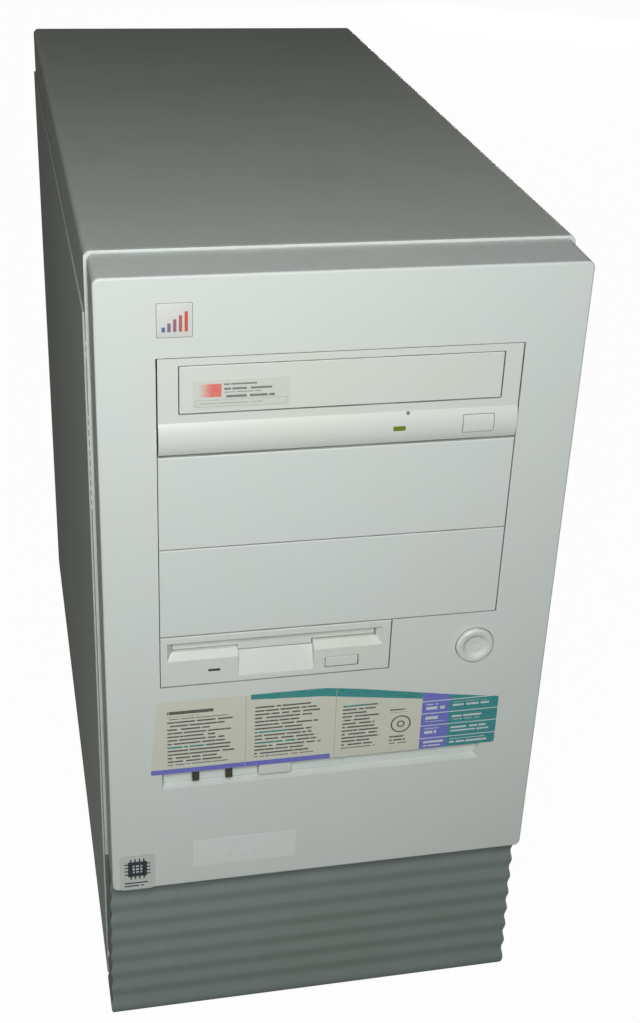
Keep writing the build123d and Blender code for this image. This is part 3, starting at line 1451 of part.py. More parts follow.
def make_drive_screws():
    """Screws through the cage's left wall into the drives."""
    to_left = Rot(0, -90, 0) * screw(screw_radius, 2.6, drive_screw_length)
    return [Pos(cage_left - chassis, y, z) * to_left for y, z in drive_screw_places()]


def bent_strip(points, radius, thickness):
    """Sketch of a strip along a rounded path; its thickness is measured along the first axis."""
    near = FilletPolyline(*points, radius=radius)
    far = Pos(thickness, 0) * near
    ends = [Line(point, (point[0] + thickness, point[1])) for point in (points[0], points[-1])]
    return make_face(near.edges() + far.edges() + ends)


def make_drive_ribbon():
    """Flat lead from the CD drive past the hard drive, folded at 45 degrees towards the motherboard."""
    x0, x1 = plug_x - ribbon_width / 2, plug_x + ribbon_width / 2
    cd_y = cd_back + plug_proud + clamp_depth - ribbon
    bulge_y = floppy_run_back + 6
    fold_top = hdd_low - 4
    drop = [(cd_y, cd_plug_low + plug_height), (cd_y, cd_plug_low - 15), (bulge_y, cd_plug_low - 60),
            (bulge_y, floppy_run_z - 4), (ribbon_y, hdd_low + 14), (ribbon_y, fold_top)]
    lead = side(bent_strip(drop, 8, ribbon), x0, x1)
    end_x = board_face - header_height - clamp_depth
    run = outline((x0, fold_top), (x1, fold_top), (x1, run_high), (end_x, run_high), (end_x, run_low),
                  (x1, run_low), (x0, run_high))
    lead += front(run, ribbon_y, ribbon_y + ribbon)
    lead += front(outline((x0, run_high), (x1, run_high), (x1, run_low)), ribbon_y - ribbon / 2,
                  ribbon_y + ribbon)
    half_plug = plug_width / 2
    lead += block(plug_x - half_plug, plug_x + half_plug, cd_back + plug_proud, cd_y + ribbon, cd_plug_low,
                  cd_plug_low + plug_height)
    lead += block(plug_x - half_plug, plug_x + half_plug, hdd_back + hdd_plug, ribbon_y + ribbon,
                  hdd_low - board_thickness, hdd_low + 6)
    lead += block(end_x, board_face - header_height, ribbon_y - 4, ribbon_y + ribbon + 4, run_low - 3,
                  run_high + 3)
    return lead


def make_floppy_ribbon():
    """Flat lead from the floppy drive, level and folded at 45 degrees towards the motherboard."""
    middle = fd_body_left + 45.0
    x0, x1 = middle - floppy_ribbon_width / 2, middle + floppy_ribbon_width / 2
    end_x = board_face - header_height - clamp_depth
    plug_back = floppy_run_front - 2
    run = outline((x0, plug_back), (x1, plug_back), (x1, floppy_run_front), (end_x, floppy_run_front),
                  (end_x, floppy_run_back), (x1, floppy_run_back), (x0, floppy_run_front))
    lead = plan(run, floppy_run_z, floppy_run_z + ribbon)
    fold = outline((x0, floppy_run_front), (x1, floppy_run_front), (x1, floppy_run_back))
    lead += plan(fold, floppy_run_z - ribbon / 2, floppy_run_z + ribbon)
    lead += block(x0 - 2, x1 + 2, floppy_plug_back, plug_back, floppy_run_z - 4, floppy_run_z + 5)
    lead += block(end_x, board_face - header_height, floppy_run_front - 2, floppy_run_back + 2,
                  floppy_run_z - 4, floppy_run_z + ribbon + 4)
    return lead


def round_lead(points, diameter):
    """Round bundle of wires along straight runs that arcs join."""
    route = [Vector(*point) for point in points]
    runs = [after - before for before, after in zip(route, route[1:])]
    radii = []
    for before, after in zip(runs, runs[1:]):
        shorter = min(before.length, after.length)
        radii.append(0.45 * shorter / tan(radians(before.get_angle(after) / 2)))
    path = FilletPolyline(*route, radius=radii)
    return sweep(Plane(origin=route[0], z_dir=runs[0]) * Circle(diameter / 2), path=path)


def make_power_leads():
    """Three bundles from the supply: to the motherboard, the CD drive and the hard drive."""
    exit_y = psu_front + 3
    exit_x, exit_z = psu_left + 15.0, psu_low + 7.5
    board_end = board_face - supply_header - supply_plug_depth
    to_board = round_lead([(exit_x - 2, exit_y, exit_z),
                           (exit_x - 2, psu_front - 20, exit_z),
                           (exit_x + 17, psu_front - 42, exit_z - 22),
                           (exit_x + 53, psu_front - 56, exit_z - 48),
                           (board_end - 38, supply_plug_y + 4, supply_plug_z + 4),
                           (board_end - 20, supply_plug_y, supply_plug_z),
                           (board_end, supply_plug_y, supply_plug_z)], supply_lead)
    board_plug = block(board_end, board_face - supply_header, supply_plug_y - supply_plug_length / 2,
                       supply_plug_y + supply_plug_length / 2, supply_plug_z - 4, supply_plug_z + 4)
    cd_end = cd_back + plug_proud + clamp_depth
    cd_z = cd_plug_low + plug_height / 2
    to_cd = round_lead([(exit_x + 4.5, exit_y, exit_z + 2.5),
                        (exit_x + 5, psu_front - 16, exit_z + 4),
                        (exit_x + 34, psu_front - 30, exit_z + 10),
                        (power_plug_x - 20, cd_end + 38, cd_z - 4),
                        (power_plug_x, cd_end + 16, cd_z),
                        (power_plug_x, cd_end, cd_z)], drive_lead)
    half_power = power_plug_width / 2
    cd_plug = block(power_plug_x - half_power, power_plug_x + half_power, cd_back + plug_proud, cd_end,
                    cd_plug_low, cd_plug_low + plug_height)
    hdd_end = hdd_back + hdd_plug + clamp_depth
    hdd_z = hdd_low + 3.5
    to_hdd = round_lead([(exit_x + 4.5, exit_y, exit_z - 2.5),
                         (exit_x + 6, psu_front - 18, exit_z - 5),
                         (exit_x + 38, psu_front - 36, exit_z - 20),
                         (hdd_power_x - 2, psu_front - 58, exit_z - 64),
                         (hdd_power_x, hdd_end + 32, hdd_z + 30),
                         (hdd_power_x, hdd_end + 16, hdd_z),
                         (hdd_power_x, hdd_end, hdd_z)], drive_lead)
    hdd_plug_body = block(hdd_power_x - 9, hdd_power_x + 9, hdd_back + hdd_plug, hdd_end,
                          hdd_low - board_thickness, hdd_low + 8)
    return [to_board + board_plug, to_cd + cd_plug, to_hdd + hdd_plug_body]


def make_all():
    save(make_top_cover(), "top_cover")
    left = make_left_panel()
    save(left, "left_side_panel")
    save(mirrored(left), "right_side_panel")
    save(make_base_pan(), "base_pan")
    save(make_front_plate(), "front_plate")
    save(make_rear_panel(), "rear_panel")
    save(make_board_tray(), "board_tray")
    save(make_drive_cage(), "drive_cage")
    save(make_floppy_cage(), "floppy_cage")
    save(make_drive_bracket(), "hard_drive_bracket")
    drive, drive_board = make_hard_drive()
    save(drive, "hard_drive")
    save(drive_board, "hard_drive_board")
    save(make_front_bezel(), "front_bezel")
    save(make_plinth(), "plinth")
    save(make_indicator_insert(), "indicator_insert")
    save(make_indicator_lenses(), "indicator_lenses")
    save(make_indicator_board(), "indicator_board")
    save(make_reset_button(), "reset_button")
    save(make_power_button(), "power_button")
    save(make_power_switch(), "power_switch")
    save(make_bay_cover(1), "bay_cover_upper")
    save(make_bay_cover(2), "bay_cover_lower")
    save(make_cd_bezel(), "cd_bezel")
    save(make_cd_shell(), "cd_shell")
    save(make_cd_tray(), "cd_tray")
    save(make_cd_tray_front(), "cd_tray_front")
    save(make_loader_deck(), "cd_loader_deck")
    save(make_cd_button(), "cd_eject_button")
    save(make_cd_lamp(), "cd_lamp")
    save(make_floppy_bezel(), "floppy_bezel")
    save(make_floppy_shell(), "floppy_shell")
    save(make_floppy_door(), "floppy_door")
    save(make_floppy_button(), "floppy_eject_button")
    save(make_floppy_lamp(), "floppy_lamp")
    save(make_psu_case(), "power_supply_case")
    save(make_psu_board(), "power_supply_board")
    save(make_fan_frame(), "fan_frame")
    save(make_fan_rotor(), "fan_rotor")
    save(make_fan_guard(), "fan_guard")
    save(make_mains_inlet(), "mains_inlet")
    save(make_monitor_outlet(), "monitor_outlet")
    socket, slider = make_voltage_slider()
    save(socket, "voltage_socket")
    save(slider, "voltage_slider")
    save(make_motherboard(), "motherboard")
    save(make_processor(), "processor")
    save(make_heatsink(), "heatsink")
    save(make_memory(), "memory_modules")
    save(make_riser(), "riser_card")
    save(make_modem(), "modem_card")
    save(make_sound_card(), "sound_card")
    save(make_slot_cover(), "slot_cover")
    save(make_rear_ports(), "rear_ports")
    save(make_speaker(), "speaker")
    save(make_feet(), "rubber_feet")
    save(make_case_screws(), "case_screws")
    save(make_panel_screws(), "panel_screws")
    save(make_drive_screws(), "drive_screws")
    save(make_drive_ribbon(), "drive_ribbon")
    save(make_floppy_ribbon(), "floppy_ribbon")
    save(make_power_leads(), "power_leads")


make_all()
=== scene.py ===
import bmesh
import bpy
import json
import math
from mathutils import Matrix, Vector


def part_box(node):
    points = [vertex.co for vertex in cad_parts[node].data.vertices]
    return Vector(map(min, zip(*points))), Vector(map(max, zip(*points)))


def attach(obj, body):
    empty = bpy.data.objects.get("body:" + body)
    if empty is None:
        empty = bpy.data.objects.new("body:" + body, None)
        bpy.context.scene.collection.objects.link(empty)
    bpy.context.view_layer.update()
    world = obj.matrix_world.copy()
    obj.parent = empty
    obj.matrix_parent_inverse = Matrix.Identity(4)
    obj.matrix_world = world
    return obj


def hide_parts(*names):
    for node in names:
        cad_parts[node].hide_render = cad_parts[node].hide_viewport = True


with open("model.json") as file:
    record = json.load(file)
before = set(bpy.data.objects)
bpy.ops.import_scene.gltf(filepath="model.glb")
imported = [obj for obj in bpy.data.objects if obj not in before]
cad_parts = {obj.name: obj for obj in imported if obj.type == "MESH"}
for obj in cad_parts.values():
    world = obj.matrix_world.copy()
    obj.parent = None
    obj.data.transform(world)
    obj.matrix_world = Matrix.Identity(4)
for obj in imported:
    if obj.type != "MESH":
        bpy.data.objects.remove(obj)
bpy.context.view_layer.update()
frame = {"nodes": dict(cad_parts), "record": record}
nodes = frame["nodes"]
mm = 0.001
print("frame loaded:", len(nodes), "nodes")


# small tools for node trees

def addNode(tree, kind, inputs=None, **settings):
    node = tree.nodes.new(kind)
    for key, value in settings.items():
        setattr(node, key, value)
    for key, value in (inputs or {}).items():
        if isinstance(value, bpy.types.NodeSocket):
            tree.links.new(value, node.inputs[key])
        else:
            node.inputs[key].default_value = value
    return node


def calc(tree, operation, first, second=0.0, clamp=False):
    node = addNode(tree, "ShaderNodeMath", {0: first, 1: second}, operation=operation, use_clamp=clamp)
    return node.outputs[0]


def blendColour(tree, mask, under, over):
    mix = addNode(tree, "ShaderNodeMix", {0: mask, 6: under, 7: over}, data_type="RGBA")
    return mix.outputs[2]


def stretch(tree, value, low, high, outLow=0.0, outHigh=1.0):
    span = {"Value": value, "From Min": low, "From Max": high, "To Min": outLow, "To Max": outHigh}
    return addNode(tree, "ShaderNodeMapRange", span, interpolation_type="SMOOTHSTEP").outputs[0]


def newGroup(name, inputs, outputs):
    group = bpy.data.node_groups.new(name, "ShaderNodeTree")
    for label, value in inputs.items():
        socket = group.interface.new_socket(label, in_out="INPUT", socket_type="NodeSocketFloat")
        socket.default_value = value
    for label in outputs:
        group.interface.new_socket(label, in_out="OUTPUT", socket_type="NodeSocketFloat")
    return group, addNode(group, "NodeGroupInput").outputs, addNode(group, "NodeGroupOutput")


def useGroup(tree, group, **values):
    node = addNode(tree, "ShaderNodeGroup", node_tree=group)
    for label, value in values.items():
        if isinstance(value, bpy.types.NodeSocket):
            tree.links.new(value, node.inputs[label])
        else:
            node.inputs[label].default_value = value
    return node.outputs


def newMaterial(name):
    material = bpy.data.materials.new(name)
    material.use_nodes = True
    material.node_tree.nodes.clear()
    return material, material.node_tree


def place(tree):
    return addNode(tree, "ShaderNodeTexCoord").outputs["Object"]


def noise(tree, where, scale, detail=3.0, roughness=0.55):
    inputs = {"Vector": where, "Scale": scale, "Detail": detail, "Roughness": roughness}
    return addNode(tree, "ShaderNodeTexNoise", inputs).outputs["Fac"]


def bump(tree, height, strength, distance):
    inputs = {"Height": height, "Strength": strength, "Distance": distance}
    return addNode(tree, "ShaderNodeBump", inputs).outputs[0]


def finishSurface(tree, colour, roughness, normal=None, **sockets):
    inputs = {"Base Color": colour, "Roughness": roughness}
    inputs.update({label.replace("_", " "): value for label, value in sockets.items()})
    if normal is not None:
        inputs["Normal"] = normal
    surface = addNode(tree, "ShaderNodeBsdfPrincipled", inputs)
    addNode(tree, "ShaderNodeOutputMaterial", {"Surface": surface.outputs[0]})


def srgb(red, green, blue):
    def linear(level):
        level = level / 255
        return level / 12.92 if level <= 0.04045 else ((level + 0.055) / 1.055) ** 2.4
    return (linear(red), linear(green), linear(blue), 1.0)


# effects shared by the finishes

def makeSeamShadeAndGrime():
    # painted shade: ambient occlusion darkens seams, corners and recesses, and noise breaks it into patches
    # of grime
    group, given, out = newGroup("seamShadeAndGrime", {"Reach": 0.003, "Amount": 0.5, "Patch Scale": 40.0}, ["Mask"])
    shade = addNode(group, "ShaderNodeAmbientOcclusion", {"Distance": given["Reach"]}, samples=6)
    depth = stretch(group, calc(group, "SUBTRACT", 1.0, shade.outputs["AO"]), 0.25, 0.85)
    patches = stretch(group, noise(group, place(group), given["Patch Scale"], 5.0), 0.3, 0.7, 0.45, 1.0)
    mask = calc(group, "MULTIPLY", calc(group, "MULTIPLY", depth, patches), given["Amount"], clamp=True)
    group.links.new(mask, out.inputs["Mask"])
    return group


def makeEdgeWearAndHighlight():
    # painted highlight: the bevel normal pales rounded edges, and noise breaks it into chips of paler wear
    group, given, out = newGroup("edgeWearAndHighlight", {"Radius": 0.0006, "Amount": 0.5, "Chip Scale": 300.0}, ["Mask"])
    rounded = addNode(group, "ShaderNodeBevel", {"Radius": given["Radius"]}, samples=4).outputs[0]
    flat = addNode(group, "ShaderNodeNewGeometry").outputs["Normal"]
    turned = addNode(group, "ShaderNodeVectorMath", {0: rounded, 1: flat}, operation="DOT_PRODUCT")
    edge = stretch(group, calc(group, "SUBTRACT", 1.0, turned.outputs["Value"]), 0.02, 0.22)
    chips = stretch(group, noise(group, place(group), given["Chip Scale"], 4.0), 0.42, 0.62)
    mask = calc(group, "MULTIPLY", calc(group, "MULTIPLY", edge, chips), given["Amount"], clamp=True)
    group.links.new(mask, out.inputs["Mask"])
    return group


def makeMouldGrain():
    group, given, out = newGroup("mouldGrain", {"Scale": 1800.0, "Coarse Share": 0.35}, ["Height"])
    where = place(group)
    fine = noise(group, where, given["Scale"], 2.0)
    coarse = noise(group, where, calc(group, "MULTIPLY", given["Scale"], 0.3), 2.0)
    height = calc(group, "ADD", fine, calc(group, "MULTIPLY", coarse, given["Coarse Share"]))
    group.links.new(height, out.inputs["Height"])
    return group


def makeAgedPatches():
    group, given, out = newGroup("agedPatches", {"Scale": 9.0, "Contrast": 0.2}, ["Mask"])
    where = place(group)
    wide = noise(group, where, given["Scale"], 4.0, 0.6)
    small = noise(group, where, calc(group, "MULTIPLY", given["Scale"], 7.0), 3.0)
    both = calc(group, "ADD", calc(group, "MULTIPLY", wide, 0.7), calc(group, "MULTIPLY", small, 0.3))
    low = calc(group, "SUBTRACT", 0.5, given["Contrast"])
    high = calc(group, "ADD", 0.5, given["Contrast"])
    group.links.new(stretch(group, both, low, high), out.inputs["Mask"])
    return group


def makeSettledDust():
    group, given, out = newGroup("settledDust", {"Amount": 0.3, "Scale": 60.0}, ["Mask"])
    normal = addNode(group, "ShaderNodeNewGeometry").outputs["Normal"]
    up = stretch(group, addNode(group, "ShaderNodeSeparateXYZ", {0: normal}).outputs["Z"], 0.4, 0.95)
    specks = stretch(group, noise(group, place(group), given["Scale"], 8.0, 0.7), 0.35, 0.75)
    mask = calc(group, "MULTIPLY", calc(group, "MULTIPLY", up, specks), given["Amount"], clamp=True)
    group.links.new(mask, out.inputs["Mask"])
    return group


def makeFineScratches():
    group, given, out = newGroup("fineScratches", {"Scale": 90.0, "Amount": 0.5, "Stretch": 12.0}, ["Mask"])
    where = place(group)
    warp = addNode(group, "ShaderNodeTexNoise", {"Vector": where, "Scale": 6.0}).outputs["Color"]
    bent = addNode(group, "ShaderNodeVectorMath", {0: warp, 1: (0.02, 0.02, 0.02)}, operation="MULTIPLY_ADD")
    group.links.new(where, bent.inputs[2])
    squeeze = calc(group, "DIVIDE", 1.0, given["Stretch"])
    scaled = addNode(group, "ShaderNodeCombineXYZ", {"X": 1.0, "Y": squeeze, "Z": 1.0}).outputs[0]
    drawn = addNode(group, "ShaderNodeVectorMath", {0: bent.outputs[0], 1: scaled}, operation="MULTIPLY")
    lines = noise(group, drawn.outputs[0], given["Scale"], 6.0, 0.75)
    thin = stretch(group, calc(group, "ABSOLUTE", calc(group, "SUBTRACT", lines, 0.5)), 0.0, 0.012, 1.0, 0.0)
    group.links.new(calc(group, "MULTIPLY", thin, given["Amount"], clamp=True), out.inputs["Mask"])
    return group


seamShadeAndGrime = makeSeamShadeAndGrime()
edgeWearAndHighlight = makeEdgeWearAndHighlight()
mouldGrain = makeMouldGrain()
agedPatches = makeAgedPatches()
settledDust = makeSettledDust()
fineScratches = makeFineScratches()
print("shared effects built")


# finishes

def agedGround(tree, aged, look):
    return blendColour(tree, calc(tree, "MULTIPLY", aged, look["aging"]), look["colour"], look["agedColour"])


def layOver(tree, colour, effect, tint, **values):
    return blendColour(tree, useGroup(tree, effect, **values)["Mask"], colour, tint)


def mouldedPlastic(name, look):
    material, tree = newMaterial(name)
    aged = useGroup(tree, agedPatches, Scale=look["patchScale"], Contrast=0.22)["Mask"]
    colour = agedGround(tree, aged, look)
    # rounded edges get painted highlight with wear, seams and recesses painted shade with grime
    colour = layOver(tree, colour, edgeWearAndHighlight, look["wearAndHighlightColour"], Radius=look["edgeRadius"],
                     Amount=look["edgeWearAndHighlight"])
    colour = layOver(tree, colour, settledDust, look["dustColour"], Amount=look["dust"])
    colour = layOver(tree, colour, seamShadeAndGrime, look["seamShadeAndGrimeColour"], Reach=look["seamShadeAndGrimeReach"],
                     Amount=look["seamShadeAndGrimeAmount"])
    rough = stretch(tree, aged, 0.0, 1.0, look["roughness"] - 0.05, look["roughness"] + 0.06)
    grain = useGroup(tree, mouldGrain, Scale=look["grainScale"])["Height"]
    normal = bump(tree, grain, look["grainStrength"], look["grainDepth"])
    finishSurface(tree, colour, rough, normal, IOR=1.5)
    return material


# the seam colour is painted shade with grime; the edge colour is painted highlight with wear
bezelLook = {
    "colour": srgb(210, 217, 214), "agedColour": srgb(206, 210, 201), "aging": 0.5, "patchScale": 9.0,
    "wearAndHighlightColour": srgb(222, 226, 222), "edgeRadius": 0.5 * mm, "edgeWearAndHighlight": 0.5,
    "dust": 0.18, "dustColour": srgb(176, 172, 160), "seamShadeAndGrimeReach": 2.0 * mm, "seamShadeAndGrimeAmount": 0.75,
    "seamShadeAndGrimeColour": srgb(72, 70, 58), "roughness": 0.5, "grainScale": 2200.0, "grainStrength": 0.12,
    "grainDepth": 0.1 * mm,
}
driveLook = dict(bezelLook, colour=srgb(211, 217, 212), agedColour=srgb(210, 212, 200), aging=0.5,
                 patchScale=14.0, roughness=0.42, grainScale=3000.0, grainStrength=0.08,
                 seamShadeAndGrimeReach=1.6 * mm)
buttonLook = dict(driveLook, colour=srgb(213, 218, 213), roughness=0.38, grainStrength=0.05,
                  seamShadeAndGrimeReach=1.0 * mm)
# on the plinth the dark seam colour, reaching far, is painted shade in the rib valleys and recesses, with
# grime
plinthLook = dict(bezelLook, colour=srgb(128, 140, 137), agedColour=srgb(120, 130, 122), aging=0.6,
                  patchScale=16.0, wearAndHighlightColour=srgb(150, 160, 156), edgeWearAndHighlight=0.3, dust=0.35,
                  dustColour=srgb(146, 150, 140), seamShadeAndGrimeReach=6.0 * mm, seamShadeAndGrimeAmount=0.85,
                  seamShadeAndGrimeColour=srgb(40, 44, 38), roughness=0.55, grainScale=1500.0, grainStrength=0.2)
# the tray's near-black seam colour is painted shade with grime
trayLook = dict(bezelLook, colour=srgb(46, 47, 50), agedColour=srgb(56, 56, 58), wearAndHighlightColour=srgb(80, 80, 82),
                roughness=0.4, dust=0.25, seamShadeAndGrimeColour=srgb(12, 12, 12))
blackLook = dict(trayLook, colour=srgb(28, 28, 30), agedColour=srgb(36, 36, 37), roughness=0.45)
socketLook = dict(blackLook, colour=srgb(38, 38, 40))
redLook = dict(bezelLook, colour=srgb(176, 30, 24), agedColour=srgb(160, 36, 28),
               wearAndHighlightColour=srgb(210, 90, 80), roughness=0.35, grainStrength=0.04)


def paintedSheet(name, look):
    material, tree = newMaterial(name)
    aged = useGroup(tree, agedPatches, Scale=look["patchScale"], Contrast=0.2)["Mask"]
    colour = agedGround(tree, aged, look)
    colour = layOver(tree, colour, fineScratches, look["scuffColour"], Scale=look["scuffScale"],
                     Amount=look["scuffs"])
    colour = layOver(tree, colour, settledDust, look["dustColour"], Amount=look["dust"],
                     Scale=look["dustScale"])
    # seams and recesses get painted shade with grime, rounded edges painted highlight with worn paint
    colour = layOver(tree, colour, seamShadeAndGrime, look["seamShadeAndGrimeColour"], Reach=look["seamShadeAndGrimeReach"],
                     Amount=look["seamShadeAndGrimeAmount"])
    colour = layOver(tree, colour, edgeWearAndHighlight, look["wearAndHighlightColour"], Radius=look["edgeRadius"],
                     Amount=look["edgeWearAndHighlight"])
    rough = stretch(tree, aged, 0.0, 1.0, look["roughness"] - 0.06, look["roughness"] + 0.08)
    peel = useGroup(tree, mouldGrain, Scale=look["peelScale"], **{"Coarse Share": 0.8})["Height"]
    normal = bump(tree, peel, look["peelStrength"], look["peelDepth"])
    finishSurface(tree, colour, rough, normal, IOR=1.5)
    return material


# the seam colour is painted shade with grime; the edge colour is worn paint and painted highlight
coverLook = {
    "colour": srgb(194, 200, 192), "agedColour": srgb(187, 192, 180), "aging": 0.3, "patchScale": 6.0,
    "scuffScale": 60.0, "scuffs": 0.08, "scuffColour": srgb(208, 211, 204), "dust": 0.16,
    "dustScale": 35.0, "dustColour": srgb(170, 166, 152), "seamShadeAndGrimeReach": 2.5 * mm, "seamShadeAndGrimeAmount": 0.6,
    "seamShadeAndGrimeColour": srgb(66, 64, 52), "edgeRadius": 0.7 * mm, "edgeWearAndHighlight": 0.25,
    "wearAndHighlightColour": srgb(216, 220, 214), "roughness": 0.48, "peelScale": 900.0, "peelStrength": 0.3,
    "peelDepth": 0.12 * mm,
}


def zincSheet(name, look):
    material, tree = newMaterial(name)
    where = place(tree)
    cells = addNode(tree, "ShaderNodeTexVoronoi", {"Vector": where, "Scale": look["spangleScale"]})
    spangle = addNode(tree, "ShaderNodeSeparateColor", {0: cells.outputs["Color"]}).outputs[0]
    tone = calc(tree, "MULTIPLY", spangle, look["spangleShare"])
    colour = blendColour(tree, tone, look["colour"], look["spangleColour"])
    dull = useGroup(tree, agedPatches, Scale=look["patchScale"], Contrast=0.25)["Mask"]
    colour = blendColour(tree, calc(tree, "MULTIPLY", dull, look["dullShare"]), colour, look["dullColour"])
    dust = useGroup(tree, settledDust, Amount=look["dust"])["Mask"]
    colour = blendColour(tree, dust, colour, look["dustColour"])
    marks = useGroup(tree, fineScratches, Scale=70.0, Amount=0.5)["Mask"]
    rough = stretch(tree, dull, 0.0, 1.0, look["roughness"], look["roughness"] + 0.08)
    rough = calc(tree, "ADD", rough, dust)
    rough = calc(tree, "SUBTRACT", rough, calc(tree, "MULTIPLY", marks, look["markGloss"]), clamp=True)
    normal = bump(tree, spangle, 0.06, 0.1 * mm)
    finishSurface(tree, colour, rough, normal, Metallic=look["metallic"])
    return material


chassisLook = {
    "colour": srgb(196, 198, 200), "spangleColour": srgb(180, 183, 186), "dullColour": srgb(160, 161, 158),
    "spangleScale": 160.0, "spangleShare": 0.6, "dullShare": 0.35, "patchScale": 12.0, "dust": 0.3,
    "dustColour": srgb(150, 147, 138), "markGloss": 0.12, "roughness": 0.44, "metallic": 0.85,
}
nickelLook = dict(chassisLook, colour=srgb(214, 214, 212), spangleColour=srgb(206, 206, 205), roughness=0.2,
                  dust=0.1, metallic=1.0)
castLook = dict(chassisLook, colour=srgb(176, 178, 180), spangleColour=srgb(168, 170, 172),
                spangleScale=900.0, roughness=0.42)
sinkLook = dict(chassisLook, colour=srgb(186, 188, 192), spangleColour=srgb(178, 180, 184),
                spangleScale=600.0, roughness=0.36)


def printedBoard(name, look):
    # solder mask on the flat of the board, black packages where the mesh stands off it
    material, tree = newMaterial(name)
    where = place(tree)
    axes = addNode(tree, "ShaderNodeSeparateXYZ", {0: where}).outputs
    offPlane = calc(tree, "ABSOLUTE", calc(tree, "SUBTRACT", axes[look["axis"]], look["plane"]))
    isPart = calc(tree, "GREATER_THAN", offPlane, look["thickness"])
    lines = {"Vector": where, "Scale": look["trackScale"], "Mortar Size": 0.03}
    weave = addNode(tree, "ShaderNodeTexBrick", lines).outputs["Fac"]
    tracks = calc(tree, "MULTIPLY", weave, stretch(tree, noise(tree, where, 45.0), 0.45, 0.55))
    mask = blendColour(tree, calc(tree, "MULTIPLY", tracks, look["trackShare"]), look["mask"], look["track"])
    pads = addNode(tree, "ShaderNodeTexVoronoi", {"Vector": where, "Scale": look["padScale"]})
    ring = stretch(tree, pads.outputs["Distance"], 0.1, 0.14, 0.8, 0.0)
    mask = blendColour(tree, ring, mask, look["solder"])
    cells = addNode(tree, "ShaderNodeTexVoronoi", {"Vector": where, "Scale": look["packageScale"]})
    shade = addNode(tree, "ShaderNodeSeparateColor", {0: cells.outputs["Color"]}).outputs[0]
    pale = calc(tree, "MULTIPLY", shade, look["paleShare"])
    colour = blendColour(tree, isPart, mask, blendColour(tree, pale, look["package"], look["packagePale"]))
    colour = layOver(tree, colour, settledDust, look["dustColour"], Amount=look["dust"])
    normal = bump(tree, tracks, 0.25, 0.05 * mm)
    finishSurface(tree, colour, stretch(tree, isPart, 0.0, 1.0, 0.3, 0.5), normal, IOR=1.5)
    return material


boardLook = {
    "mask": srgb(30, 92, 52), "track": srgb(58, 128, 74), "solder": srgb(190, 188, 176),
    "package": srgb(26, 26, 28), "packagePale": srgb(74, 72, 68), "paleShare": 0.3, "packageScale": 30.0,
    "trackScale": 260.0, "trackShare": 0.6, "padScale": 320.0, "dust": 0.3,
    "dustColour": srgb(140, 136, 124), "thickness": 1.2 * mm,
}


def smokedWindow(name, look):
    material, tree = newMaterial(name)
    haze = noise(tree, place(tree), 500.0)
    colour = blendColour(tree, haze, look["colour"], look["hazeColour"])
    rough = stretch(tree, haze, 0.3, 0.7, 0.08, 0.2)
    finishSurface(tree, colour, rough, None, IOR=1.5, Coat_Weight=0.5)
    return material


def mouldedRubber(name, look):
    material, tree = newMaterial(name)
    grain = noise(tree, place(tree), look["grainScale"], 4.0)
    # on rubber the second colour only mottles the grain at random, with no painted light
    colour = blendColour(tree, grain, look["colour"], look["wearAndHighlightColour"])
    finishSurface(tree, colour, stretch(tree, grain, 0.3, 0.7, 0.65, 0.85), bump(tree, grain, 0.3, 0.1 * mm))
    return material


ceramicLook = {"colour": srgb(126, 112, 124), "wearAndHighlightColour": srgb(142, 130, 140), "grainScale": 1400.0}
rubberLook = {"colour": srgb(34, 34, 34), "wearAndHighlightColour": srgb(58, 57, 55), "grainScale": 700.0}
ribbonLook = {"colour": srgb(168, 170, 174), "wearAndHighlightColour": srgb(148, 150, 156), "grainScale": 300.0}
wireLook = {"colour": srgb(52, 50, 48), "wearAndHighlightColour": srgb(120, 44, 34), "grainScale": 260.0}
windowLook = {"colour": srgb(44, 44, 34), "hazeColour": srgb(70, 70, 50)}
greenLampLook = {"colour": srgb(94, 112, 22), "hazeColour": srgb(122, 140, 40)}


# each board's node, the axis across its sheet, and the share of the node's depth at which the sheet lies
boards = {
    "mainBoard": ("motherboard", "X", 0.93), "riserBoard": ("riser_card", "Z", 0.5),
    "memoryBoard": ("memory_modules", "Y", 0.5), "modemBoard": ("modem_card", "X", 0.9),
    "soundBoard": ("sound_card", "X", 0.9), "driveBoard": ("hard_drive_board", "Z", 0.5),
    "supplyBoard": ("power_supply_board", "Z", 0.02), "lampBoard": ("indicator_board", "Y", 0.5),
}


def boardAt(name, node, axis, share):
    low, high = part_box(node)
    index = "XYZ".index(axis)
    plane = low[index] + (high[index] - low[index]) * share
    return printedBoard(name, dict(boardLook, axis=axis, plane=plane))


finishMakers = {
    "coverPaint": (paintedSheet, coverLook), "chassisZinc": (zincSheet, chassisLook),
    "bezelPlastic": (mouldedPlastic, bezelLook), "drivePlastic": (mouldedPlastic, driveLook),
    "buttonPlastic": (mouldedPlastic, buttonLook), "plinthPlastic": (mouldedPlastic, plinthLook),
    "trayPlastic": (mouldedPlastic, trayLook), "blackPlastic": (mouldedPlastic, blackLook),
    "socketPlastic": (mouldedPlastic, socketLook), "redPlastic": (mouldedPlastic, redLook),
    "nickelPlate": (zincSheet, nickelLook), "castAluminium": (zincSheet, castLook),
    "sinkAluminium": (zincSheet, sinkLook), "smokedWindow": (smokedWindow, windowLook),
    "greenLamp": (smokedWindow, greenLampLook), "mouldedRubber": (mouldedRubber, rubberLook),
    "ribbonGrey": (mouldedRubber, ribbonLook), "wireBundle": (mouldedRubber, wireLook),
    "ceramicPackage": (mouldedRubber, ceramicLook),
}
finishes = {name: makeFinish(name, look) for name, (makeFinish, look) in finishMakers.items()}
finishes.update({name: boardAt(name, *spot) for name, spot in boards.items()})
print("finishes built:", len(finishes))


# the finish of each material slot, and of the nodes that differ from their slot

